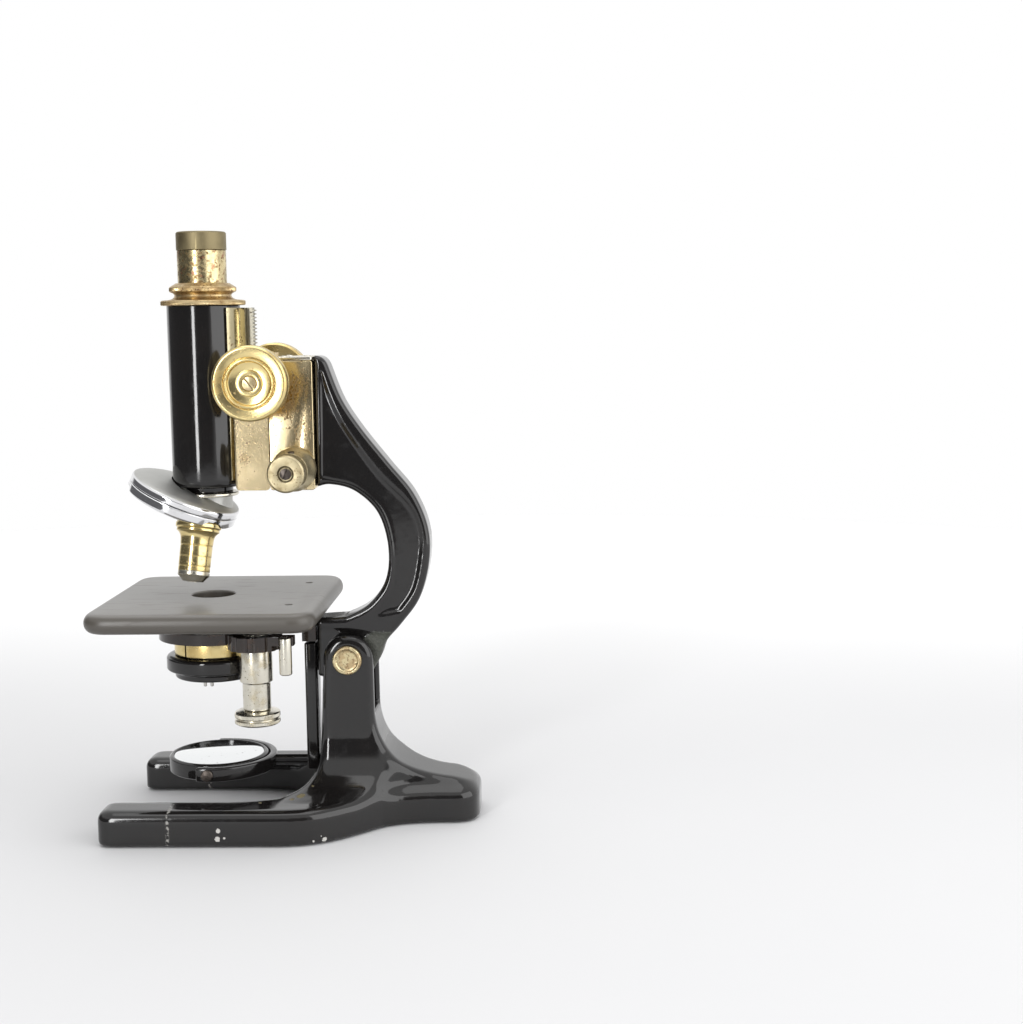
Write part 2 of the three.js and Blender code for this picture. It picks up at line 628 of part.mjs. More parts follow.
// The direction of the objective hole that stands `angle` round from the click stop.
function holeDirection(angle) {
  return noseDown.clone().multiplyScalar(Math.cos(NOSE_LEAN))
    .addScaledVector(noseAcross, Math.sin(NOSE_LEAN) * Math.cos(angle))
    .addScaledVector(noseSide, Math.sin(NOSE_LEAN) * Math.sin(angle));
}

// Heights in these profiles run down the nosepiece's axis from the seam.
const onSeam = (profile, sides = ROUND) => turned(profile, seam.toArray(), noseDown, sides);

const SCREW_R = 2.6;

function nosepiecePlate() {
  const dome = onSeam([
    [0, -GAP], [NOSE_R, -GAP], [NOSE_R, -3.2], [NOSE_R - 0.8, -4.4], [NOSE_R - 2.6, -5.2], [22, -7],
    [14, -8.4], [0, -9],
  ]);
  const boss = rod(11.8, 150, 173.85, ORIGIN, Z, ROUND);
  const below = onSeam([[0, -GAP], [60, -GAP], [60, 60], [0, 60]]);
  const light = rod(8.5, 140, 200, ORIGIN, Z, ROUND);
  return dome
    .subtract(rod(15.8, 173.85, 240, ORIGIN, Z, ROUND))
    .subtract(rod(TUBE_R + 0.6, TUBE_LOW - 0.6, 240, ORIGIN, Z, ROUND))
    .add(boss.subtract(below))
    .subtract(light)
    .subtract(onSeam([[0, -1], [SCREW_R + RUN, -1], [SCREW_R + RUN, 5], [0, 5]], FINE));
}
add("nosepiece_plate", nosepiecePlate(), CHROME);

const HOLE_R = 9.5;
const FLANGE_TOP = 46.8; // apex to the objective's shoulder
const BARREL_END = 25.4; // shoulder to the nickel nose

function nosepieceDisc() {
  let disc = onSeam([
    [0, GAP], [NOSE_R, GAP], [NOSE_R, 4.6], [27, 6], [21, 8], [12, 9.6], [0, 10],
  ]);
  for (let hole = 0; hole < 3; hole++) {
    const way = holeDirection(NOSE_TURN + (hole * 2 * Math.PI) / 3);
    disc = disc
      .subtract(rod(HOLE_R, 20, 60, apex.toArray(), way, FINE))
      .subtract(rod(12.4, FLANGE_TOP - GAP, 70, apex.toArray(), way, ROUND));
  }
  return disc.subtract(onSeam([[0, -20], [SCREW_R + 0.2, -20], [SCREW_R + 0.2, 20], [0, 20]], FINE));
}
add("nosepiece_disc", nosepieceDisc(), CHROME);
const screwProfile = [
  [0, -0.8], [SCREW_R, -0.8], [SCREW_R, 10.2], [5.6, 10.2], [5.2, 11.6], [0, 12.2],
];
add("nosepiece_screw", onSeam(screwProfile, FINE), CHROME);

// ---- Objective -----------------------------------------------------------------------------------------

const objectiveWay = holeDirection(NOSE_TURN);
const onObjective = (profile, sides = ROUND) => turned(profile, apex.toArray(), objectiveWay, sides);
// Moves a profile whose heights run from the objective's shoulder to the apex's frame.
const fromShoulder = (profile) => profile.map(([r, h]) => [r, FLANGE_TOP + h]);

const barrelProfile = fromShoulder([
  [7.6, -3], [9.2, -3], [9.2, 0], [11.6, 0], [11.9, 0.6], [11.9, 2.4], [11.2, 3], [11.2, 4.4],
  [9.4, 6], [8.6, 8], [8.4, 12], [8.3, BARREL_END], [6.6, BARREL_END], [6.6, -0.2], [7.6, -1], [7.6, -3],
]);
const noseProfile = fromShoulder([
  [4, BARREL_END + GAP], [8.3, BARREL_END + GAP], [8.3, 27.6], [7.4, 28.4], [5.4, 30.8], [3.2, 31],
  [3.2, 28.4], [4, BARREL_END + GAP],
]);
const frontLensProfile = fromShoulder([[0, 29], [3, 29], [3, 30.4], [0, 30.6]]);
const backLensProfile = fromShoulder([[0, 12], [6.3, 12.8], [6.3, 15.4], [0, 16.4]]);
add("objective_body", onObjective(barrelProfile), GOLD_BRASS);
add("objective_nose", onObjective(noseProfile), NICKEL);
add("objective_front_lens", onObjective(frontLensProfile, SMALL), GLASS);
add("objective_back_lens", onObjective(backLensProfile, SMALL), GLASS);

// ---- Stage ---------------------------------------------------------------------------------------------

const STAGE_LOW = STAGE_TOP - STAGE_THICK;

function stagePlate() {
  const plan = rectangle(STAGE_X[0], STAGE_X[1], -STAGE_HALF, STAGE_HALF, STAGE_CORNER);
  let plate = planSlab(plan, STAGE_LOW, STAGE_TOP, STAGE_EDGE, 3, 4)
    .subtract(rod(11.6, STAGE_LOW - 1, STAGE_TOP + 1, ORIGIN, Z, ROUND));
  for (const side of [-1, 1]) {
    const at = [CLIP_HOLE.x, side * CLIP_HOLE.y, 0];
    plate = plate.subtract(rod(CLIP_HOLE.r, STAGE_TOP - 8, STAGE_TOP + 1, at, Z, SMALL));
  }
  return plate;
}
add("stage_plate", stagePlate(), VULCANITE);

function stageBracket() {
  const shape = new THREE.Shape();
  shape.absarc(0, 0, 29, Math.PI / 6, (11 * Math.PI) / 6);
  shape.lineTo(55.9, -14.5);
  shape.lineTo(55.9, 14.5);
  const hole = new THREE.Path();
  hole.absarc(0, 0, 21, 0, 2 * Math.PI);
  shape.holes.push(hole);
  const plate = planSlab(shape, 105, STAGE_LOW - GAP, 0, 0, 20);
  const web = box(48.5, 55.9, -9.5, 9.5, 96.2, 106);
  const socket = rod(7.5, 104.5, STAGE_LOW - GAP, POST_AT, Z, FINE);
  const rib = box(POST.x - 7, POST.x + 7, -26, -10, 105, STAGE_LOW - GAP);
  return join(plate, web, socket, rib).subtract(rod(POST_R + RUN, 90, STAGE_LOW - 1.5, POST_AT, Z, FINE));
}
add("stage_bracket", stageBracket(), ENAMEL);

// ---- Substage ------------------------------------------------------------------------------------------

add("substage_post", rod(POST_R, 66, STAGE_LOW - 1.8, POST_AT, Z, FINE), STEEL);

const NECK_R = 6.4; // the sleeve's neck, on which the condenser arm turns
const postBore = POST_R + 2 * RUN;
const sleeveProfile = [
  [postBore, 63.6], [7.3, 63.6], [7.3, 78.3], [8.6, 78.5], [8.6, 95.9], [NECK_R, 95.9], [NECK_R, 103.8],
  [postBore, 103.8], [postBore, 63.6],
];
const substageKnobProfile = [
  [0, 55.2], [4, 55.2], [4, 56], [11, 56], [11.9, 57], [11.9, 58.6], [11.2, 59.2], [11.9, 59.8],
  [11.9, 62.4], [7, 63.4], [0, 63.4],
];
add("substage_sleeve", turned(sleeveProfile, POST_AT), NICKEL);
add("substage_knob", turned(substageKnobProfile, POST_AT), NICKEL);

// The arm turns on the sleeve's neck and carries the condenser ring.
function condenserArm() {
  const collar = rod(14.2, 96.1, 103.6, POST_AT, Z, ROUND);
  const ring = rod(29.6, 98, 103.8, ORIGIN, Z, ROUND);
  const neckShape = new THREE.Shape();
  const across = new THREE.Vector2(-POST.y, POST.x).normalize().multiplyScalar(7);
  const from = new THREE.Vector2(POST.x, POST.y);
  const to = from.clone().multiplyScalar(0.62);
  neckShape.moveTo(from.x + across.x, from.y + across.y);
  neckShape.lineTo(to.x + across.x, to.y + across.y);
  neckShape.lineTo(to.x - across.x, to.y - across.y);
  neckShape.lineTo(from.x - across.x, from.y - across.y);
  const neck = planSlab(neckShape, 98, 103.6);
  const ear = sideSlab(rectangle(34, 48.2, 99, 103.6, 2), HANDLE_Y - 0.5, -28);
  return join(collar, ring, neck, ear)
    .subtract(rod(NECK_R + 2 * RUN, 90, 110, POST_AT, Z, ROUND))
    .subtract(rod(18, 90, 110, ORIGIN, Z, ROUND))
    .subtract(rod(HANDLE_R + GAP, 90, 110, HANDLE_AT, Z, FINE));
}
add("condenser_arm", condenserArm(), ENAMEL);
const handleProfile = [[0, 83.8], [3, 83.8], [HANDLE_R, 84.2], [HANDLE_R, 103.4], [0, 103.4]];
add("arm_handle", turned(handleProfile, HANDLE_AT, Z, FINE), NICKEL);

function condenserSleeve() {
  const profile = [
    [16, 89.3], [21.6, 89.3], [21.6, 97.8], [17.7, 97.8], [17.7, 103.4], [12, 104.4], [12, 102.6],
    [16, 100.4], [16, 89.3],
  ];
  const slit = box(-12.4, -11.6, -25, -10, 88, 97.7);
  return turned(profile).subtract(slit);
}
add("condenser_sleeve", condenserSleeve(), GOLD_BRASS);
const topLensProfile = [[0, 99.8], [11.8, 99.8], [11.8, 101.2], [8, 103.4], [0, 104.2]];
const bottomLensProfile = [[0, 92], [15.8, 92], [15.8, 93], [8, 96], [0, 97.4]];
add("condenser_top_lens", turned(topLensProfile, ORIGIN, Z, FINE), GLASS);
add("condenser_bottom_lens", turned(bottomLensProfile, ORIGIN, Z, FINE), GLASS);

function irisHousing() {
  const profile = [
    [15, 76.6], [21.6, 76.6], [22, 80], [26, 81], [26, 88], [25, 89], [15, 89],
    [15, 85.4], [19.2, 85.4], [19.2, 81.4], [15, 81.4], [15, 76.6],
  ];
  return turned(profile).subtract(slotRing());
}

// The slot in the housing's underside that the lever's pins run in.
function slotRing() {
  const shape = new THREE.Shape();
  const swing = THREE.MathUtils.degToRad(48);
  const middle = -Math.PI / 2;
  shape.absarc(0, 0, 18.9, middle - swing, middle + swing);
  shape.absarc(0, 0, 16.1, middle + swing, middle - swing, true);
  return planSlab(shape, 75, 82);
}
add("iris_housing", irisHousing(), ENAMEL);

function irisRing() {
  const ring = pipe(12, 18.6, 82, 83.2);
  const pin = (x) => rod(0.9, 74, 82.6, [x, -17.4, 0], Z, 8);
  return join(ring, pin(-2.3), pin(1.3));
}
add("iris_ring", irisRing(), STEEL);

// ---- Tailpiece and mirror ------------------------------------------------------------------------------

const STUB_R = 3;
add(
  "tailpiece",
  planSlab(rectangle(TAIL_X[0], TAIL_X[1], -7, 7, 1.5), 25.4, 94.7)
    .subtract(rod(STUB_R + RUN, 40, 70, MIRROR_AT, X, FINE)),
  ENAMEL,
);

const FORK_IN = MIRROR_R + 0.9;
const FORK_OUT = FORK_IN + 3.8;

function mirrorFork() {
  const reach = THREE.MathUtils.degToRad(102);
  const shape = new THREE.Shape();
  shape.absarc(0, 0, FORK_OUT, -reach, reach);
  shape.absarc(0, 0, FORK_IN, reach, -reach, true);
  const band = planSlab(shape, MIRROR_Z - 3.8, MIRROR_Z + 3.8, 0, 0, 20);
  const stub = rod(STUB_R, FORK_OUT - 1.5, 57, MIRROR_AT, X, FINE);
  return band.add(stub).subtract(rod(MIRROR_PIN_R + RUN, -50, 50, MIRROR_AT, Y, SMALL));
}
add("mirror_fork", mirrorFork(), ENAMEL);

for (const [name, side] of [["near", -1], ["far", 1]]) {
  const outward = new THREE.Vector3(0, side, 0);
  const profile = [[0, 24.6], [MIRROR_PIN_R, 24.6], [MIRROR_PIN_R, 31.4], [3.2, 31.4], [3.2, 32.6], [0, 33]];
  add(`mirror_pivot_${name}`, turned(profile, MIRROR_AT, outward, SMALL), STEEL);
}

function mirrorFrame() {
  const profile = [
    [22.6, -2], [24.2, -2], [24.2, -4.4], [MIRROR_R, -4.4], [MIRROR_R, 4.4], [24.2, 4.4], [24.2, 2],
    [22.6, 2], [22.6, -2],
  ];
  return turned(profile, MIRROR_AT).subtract(rod(MIRROR_PIN_R + RUN, -50, 50, MIRROR_AT, Y, SMALL));
}
add("mirror_frame", mirrorFrame(), ENAMEL);
const concaveProfile = [[0, -2.4], [24, -2.4], [24, -4.2], [16, -3.6], [8, -3.3], [0, -3.2]];
add("plane_mirror", rod(24, 2.4, 4, MIRROR_AT, Z, ROUND), SILVERED);
add("concave_mirror", turned(concaveProfile, MIRROR_AT), SILVERED);

// ---- Origin --------------------------------------------------------------------------------------------

// The object's own origin is on the table, under the middle of its length and width.
microscope.position.x = -(STAGE_X[0] + HEEL_END) / 2;

export default microscope;
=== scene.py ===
import json
import math

import bmesh
import bpy
import numpy as np
from mathutils import Matrix, Vector


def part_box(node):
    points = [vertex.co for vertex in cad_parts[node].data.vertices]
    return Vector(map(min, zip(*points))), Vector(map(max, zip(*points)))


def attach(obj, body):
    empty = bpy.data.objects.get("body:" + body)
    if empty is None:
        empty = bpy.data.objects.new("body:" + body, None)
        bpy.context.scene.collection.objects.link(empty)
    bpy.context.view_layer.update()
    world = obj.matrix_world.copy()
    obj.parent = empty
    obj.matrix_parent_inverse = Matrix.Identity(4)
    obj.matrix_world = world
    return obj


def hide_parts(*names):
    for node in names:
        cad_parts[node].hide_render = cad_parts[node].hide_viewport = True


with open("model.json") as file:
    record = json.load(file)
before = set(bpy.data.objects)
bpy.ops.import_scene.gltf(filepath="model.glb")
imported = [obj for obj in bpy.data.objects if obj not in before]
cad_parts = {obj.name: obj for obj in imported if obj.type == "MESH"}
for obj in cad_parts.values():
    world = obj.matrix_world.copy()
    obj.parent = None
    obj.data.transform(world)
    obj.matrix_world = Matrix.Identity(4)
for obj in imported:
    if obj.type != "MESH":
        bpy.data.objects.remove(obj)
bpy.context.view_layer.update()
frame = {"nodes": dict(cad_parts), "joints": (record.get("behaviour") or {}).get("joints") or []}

bpy.context.scene.view_settings.view_transform = "Standard"
MM = 0.001
OPTIC = (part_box("body_tube")[0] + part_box("body_tube")[1]) / 2
OPTIC.z = 0.0

UP = Vector((0, 0, 1))
NEAR = Vector((0, -1, 0))
FAR = Vector((0, 1, 0))
RIGHT = Vector((1, 0, 0))
SIDES = {"near": NEAR, "far": FAR}


class Node:
    """A CAD node's box at rest, in this script's millimetres."""

    def __init__(self, name):
        low, high = ((corner - OPTIC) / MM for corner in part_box(name))
        self.x0, self.y0, self.z0 = low
        self.x1, self.y1, self.z1 = high
        self.middle = (low + high) / 2
        self.r = (self.x1 - self.x0) / 2


def direction_of(joint):
    return Vector(next(j["axis"] for j in frame["joints"] if j["name"] == joint)).normalized()


def centre_of(joint):
    return (Vector(next(j["pos_m"] for j in frame["joints"] if j["name"] == joint)) - OPTIC) / MM


# ---- Mesh helpers --------------------------------------------------------------------------------

SHARP = math.radians(38)  # edges that turn more than this are shaded sharp


def finished(name, mesh, body, material, replaced=()):
    """A mesh in millimetres as a piece of the object, in its place and riding on its body."""
    mesh.transform(Matrix.Translation(OPTIC) @ Matrix.Scale(MM, 4))
    mesh.polygons.foreach_set("use_smooth", [True] * len(mesh.polygons))
    mesh.set_sharp_from_angle(angle=SHARP)
    mesh.materials.append(material)
    piece = loose(name, mesh)
    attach(piece, body)
    if replaced:
        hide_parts(*replaced)
    return piece


def as_mesh(name, bm):
    bmesh.ops.recalc_face_normals(bm, faces=bm.faces)
    mesh = bpy.data.meshes.new(name)
    bm.to_mesh(mesh)
    bm.free()
    return mesh


def arc_corner(before, corner, after, radius, steps):
    """Points of a round corner between two straight stretches."""
    a = Vector(before) - Vector(corner)
    b = Vector(after) - Vector(corner)
    reach = min(radius, 0.45 * a.length, 0.45 * b.length)
    start = Vector(corner) + a.normalized() * reach
    end = Vector(corner) + b.normalized() * reach
    made = []
    for i in range(steps + 1):
        t = i / steps
        made.append(start * (1 - t) ** 2 + Vector(corner) * 2 * t * (1 - t) + end * t ** 2)
    return made


def rounded(points, radius, steps=3, closed=False):
    """A polyline with its corners rounded. A point may carry its own radius as a third number."""
    made = []
    last = len(points) - 1
    for i, point in enumerate(points):
        own = point[2] if len(point) > 2 else radius
        if own == 0 or (not closed and i in (0, last)):
            made.append(Vector(point[:2]))
            continue
        made += arc_corner(points[i - 1][:2], point[:2], points[(i + 1) % len(points)][:2], own, steps)
    return made


def to_axis(axis, at):
    return Matrix.Translation(Vector(at)) @ UP.rotation_difference(Vector(axis)).to_matrix().to_4x4()


def lathe(profile, at=(0, 0, 0), axis=UP, radius=0.25, sides=96, milled=None, steps=3):
    """A bmesh of (r, h) points turned about an axis through `at`.

    Both ends of the profile lie on the axis, or the profile closes on itself. A third number in a point is
    its own corner radius. milled = ([(low h, high h)], least r, teeth, depth) cuts straight knurling.
    """
    closed = profile[0][:2] == profile[-1][:2]
    outline = rounded(profile[:-1] if closed else profile, radius, steps, closed)
    bm = bmesh.new()
    place = to_axis(axis, at)
    bands, least, teeth, depth = milled or ((), 0, 0, 0)
    sides = teeth * 2 or sides
    rings = []
    for r, h in outline:
        if r < 1e-6:
            rings.append([bm.verts.new(place @ Vector((0, 0, h)))])
            continue
        ring = []
        cut_here = r >= least and any(low <= h <= high for low, high in bands)
        for side in range(sides):
            angle = 2 * math.pi * side / sides
            own = r - depth if cut_here and side % 2 else r
            ring.append(bm.verts.new(place @ Vector((own * math.cos(angle), own * math.sin(angle), h))))
        rings.append(ring)
    if closed:
        rings.append(rings[0])
    for a, b in zip(rings, rings[1:]):
        for i in range(sides):
            j = (i + 1) % sides
            corners = [a[i % len(a)], a[j % len(a)], b[j % len(b)], b[i % len(b)]]
            unique = list(dict.fromkeys(corners))
            if len(unique) > 2:
                bm.faces.new(unique)
    return bm


def prism(outline, low, high, across="xy"):
    """A bmesh of a closed 2-D outline extruded from low to high. across names the outline's two axes."""
    bm = bmesh.new()
    order = {"xy": (0, 1, 2), "xz": (0, 2, 1), "yz": (1, 2, 0)}[across]
    rings = []
    for level in (low, high):
        ring = []
        for a, b in outline:
            co = [0, 0, 0]
            co[order[0]], co[order[1]], co[order[2]] = a, b, level
            ring.append(bm.verts.new(co))
        rings.append(ring)
    count = len(outline)
    for i in range(count):
        j = (i + 1) % count
        bm.faces.new([rings[0][i], rings[0][j], rings[1][j], rings[1][i]])
    bm.faces.new(rings[0])
    bm.faces.new(rings[1])
    return bm


def box(x0, x1, y0, y1, z0, z1):
    return prism([(x0, y0), (x1, y0), (x1, y1), (x0, y1)], z0, z1)


def pin(r, low, high, at=(0, 0, 0), axis=UP, sides=48):
    return lathe([(0, low), (r, low), (r, high), (0, high)], at, axis, 0, sides)


def with_modifier(piece, kind, **settings):
    """The mesh that a loose object has under one modifier. The object itself is removed."""
    modifier = piece.modifiers.new("shape", kind)
    for key, value in settings.items():
        setattr(modifier, key, value)
    graph = bpy.context.evaluated_depsgraph_get()
    made = bpy.data.meshes.new_from_object(piece.evaluated_get(graph))
    bpy.data.objects.remove(piece)
    return made


def loose(name, data):
    """A new object in the scene, holding a mesh, a lamp or a camera."""
    piece = bpy.data.objects.new(name, data)
    bpy.context.scene.collection.objects.link(piece)
    return piece


def cut(mesh, tools, operation="DIFFERENCE"):
    """The mesh with each bmesh in `tools` cut away, or joined on."""
    for tool in tools:
        base = loose("cut_base", mesh)
        other = loose("cut_tool", as_mesh("cut_tool", tool))
        mesh = with_modifier(base, "BOOLEAN", operation=operation, solver="EXACT", object=other)
        bpy.data.objects.remove(other)
    return mesh


def bevelled(mesh, width, steps=3, angle=35):
    """The mesh with its sharp edges rounded."""
    return with_modifier(
        loose("bevel_base", mesh), "BEVEL", width=width, segments=steps, limit_method="ANGLE",
        angle_limit=math.radians(angle), use_clamp_overlap=True,
    )


def rectangle(x0, x1, y0, y1, radius, steps=6):
    corners = [(x0, y0), (x1, y0), (x1, y1), (x0, y1)]
    return rounded(corners, radius, steps, closed=True)


def arc(radius, start, end, steps, centre=(0, 0)):
    """Points of an arc, angles in degrees."""
    angles = (math.radians(start + (end - start) * i / steps) for i in range(steps + 1))
    return [(centre[0] + radius * math.cos(a), centre[1] + radius * math.sin(a)) for a in angles]


def bezier(a, b, c, d, steps=10):
    """Points of a cubic curve, without its first point."""
    made = []
    for i in range(1, steps + 1):
        t = i / steps
        s = 1 - t
        made.append(tuple(
            s ** 3 * p + 3 * s * s * t * q + 3 * s * t * t * r + t ** 3 * w for p, q, r, w in zip(a, b, c, d)
        ))
    return made


def quadratic(a, b, c, steps=8):
    first = [p + (q - p) * 2 / 3 for p, q in zip(a, b)]
    second = [r + (q - r) * 2 / 3 for q, r in zip(b, c)]
    return bezier(a, first, second, c, steps)


def spline(points, steps=6):
    """A smooth curve through points, as a list with the first point."""
    knots = [points[0], *points, points[-1]]
    made = [points[0]]
    for p0, p1, p2, p3 in zip(knots, knots[1:], knots[2:], knots[3:]):
        for i in range(1, steps + 1):
            t = i / steps
            made.append(tuple(
                0.5 * (2 * b + (c - a) * t + (2 * a - 5 * b + 4 * c - d) * t * t
                       + (3 * b - a - 3 * c + d) * t ** 3)
                for a, b, c, d in zip(p0, p1, p2, p3)
            ))
    return made


# ---- Castings: a smooth distance field turned into a mesh ----------------------------------------

def distance(outline, a, b):
    """Signed distance of points (a, b) to a closed outline, negative inside."""
    shape = np.broadcast(a, b).shape
    px = np.broadcast_to(a, shape).ravel().astype(np.float64)
    py = np.broadcast_to(b, shape).ravel().astype(np.float64)
    nearest = np.full(px.shape, 1e18)
    inside = np.zeros(px.shape, bool)
    for (x0, y0), (x1, y1) in zip(outline, list(outline[1:]) + [outline[0]]):
        dx, dy = x1 - x0, y1 - y0
        length = dx * dx + dy * dy
        if length == 0:
            continue
        t = np.clip(((px - x0) * dx + (py - y0) * dy) / length, 0, 1)
        nearest = np.minimum(nearest, (px - x0 - t * dx) ** 2 + (py - y0 - t * dy) ** 2)
        if y0 != y1:
            inside ^= ((y0 > py) != (y1 > py)) & (px < dx * (py - y0) / dy + x0)
    return (np.sqrt(nearest) * np.where(inside, -1, 1)).reshape(shape)


def both(a, b, r):
    """The part inside both fields, its outer edge rounded by r."""
    return np.minimum(np.maximum(a + r, b + r), 0) + np.hypot(np.maximum(a + r, 0), np.maximum(b + r, 0)) - r


def either(a, b, r):
    """The two parts together, with a fillet of radius r where they meet."""
    return -both(-a, -b, r)


def surface(field, low, high, step, relax=4):
    """A mesh of the surface where field(x, y, z) is zero, as a net of quads over a grid."""
    axes = [np.arange(a, b + step, step) for a, b in zip(low, high)]
    grid = np.meshgrid(*axes, indexing="ij", sparse=True)
    values = np.broadcast_to(field(*grid), [len(a) for a in axes]).astype(np.float64)
    cells = tuple(n - 1 for n in values.shape)
    total = np.zeros(cells + (3,))
    count = np.zeros(cells)
    corners = [(i, j, k) for i in (0, 1) for j in (0, 1) for k in (0, 1)]

    def corner_values(offset):
        i, j, k = offset
        return values[i:i + cells[0], j:j + cells[1], k:k + cells[2]]

    for p in corners:
        for axis in range(3):
            if p[axis]:
                continue
            q = tuple(v + (n == axis) for n, v in enumerate(p))
            a, b = corner_values(p), corner_values(q)
            crossed = (a < 0) != (b < 0)
            t = np.where(crossed, a / np.where(crossed, a - b, 1), 0)
            count += crossed
            for n in range(3):
                total[..., n] += np.where(crossed, p[n] + (t if n == axis else 0), 0)
    active = count > 0
    index = np.full(cells, -1)
    index[active] = np.arange(active.sum())
    points = np.argwhere(active) + total[active] / count[active][:, None]
    points = points * step + np.array([a[0] for a in axes])
    quads = []
    for axis in range(3):
        u, v = [(1, 2), (2, 0), (0, 1)][axis]
        here = [slice(None)] * 3
        there = [slice(None)] * 3
        here[axis] = slice(0, -1)
        there[axis] = slice(1, None)
        a, b = values[tuple(here)], values[tuple(there)]
        for sign in (True, False):
            edge = np.argwhere(((a < 0) & (b >= 0)) if sign else ((a >= 0) & (b < 0)))
            across, along = edge[:, u], edge[:, v]
            edge = edge[(across > 0) & (along > 0) & (across < cells[u]) & (along < cells[v])]
            ring = []
            for du, dv in ((1, 1), (0, 1), (0, 0), (1, 0)):
                cell = edge.copy()
                cell[:, u] -= du
                cell[:, v] -= dv
                ring.append(index[tuple(cell.T)])
            quad = np.stack(ring, 1)
            quads.append(quad if sign else quad[:, ::-1])
    quads = np.concatenate(quads)
    for _ in range(relax):
        points = relaxed(points, quads)
    mesh = bpy.data.meshes.new("casting")
    mesh.from_pydata(points.tolist(), [], quads.tolist())
    return mesh


def relaxed(points, quads):
    """Each vertex moved halfway to the mean of its neighbours."""
    total = np.zeros_like(points)
    count = np.zeros(len(points))
    for a, b in ((0, 1), (1, 2), (2, 3), (3, 0)):
        for i, j in ((a, b), (b, a)):
            np.add.at(total, quads[:, i], points[quads[:, j]])
            np.add.at(count, quads[:, i], 1)
    return points * 0.5 + 0.5 * total / count[:, None]


# ---- Materials -----------------------------------------------------------------------------------

class Nodes:
    """A node tree, with short ways to add and join its nodes."""

    def __init__(self, tree):
        self.tree = tree

    def node(self, kind, **settings):
        made = self.tree.nodes.new(kind)
        for key, value in settings.items():
            setattr(made, key, value)
        return made

    def feed(self, socket, value):
        if isinstance(value, bpy.types.NodeSocket):
            self.tree.links.new(value, socket)
        elif socket.type == "RGBA" and len(value) == 3:
            socket.default_value = (*value, 1)
        else:
            socket.default_value = value

    def math(self, operation, a, b=0.0):
        made = self.node("ShaderNodeMath", operation=operation)
        self.feed(made.inputs[0], a)
        self.feed(made.inputs[1], b)
        return made.outputs[0]

    def step(self, value, low, high, to_low=0.0, to_high=1.0):
        """A smooth step between two thresholds."""
        made = self.node("ShaderNodeMapRange", interpolation_type="SMOOTHSTEP")
        for socket, number in zip(made.inputs, (value, low, high, to_low, to_high)):
            self.feed(socket, number)
        return made.outputs[0]

    def mix(self, factor, a, b):
        made = self.node("ShaderNodeMix", data_type="RGBA")
        for socket, value in zip((made.inputs[0], made.inputs[6], made.inputs[7]), (factor, a, b)):
            self.feed(socket, value)
        return made.outputs[2]

    def between(self, factor, a, b):
        made = self.node("ShaderNodeMix", data_type="FLOAT")
        for socket, value in zip((made.inputs[0], made.inputs[2], made.inputs[3]), (factor, a, b)):
            self.feed(socket, value)
        return made.outputs[0]


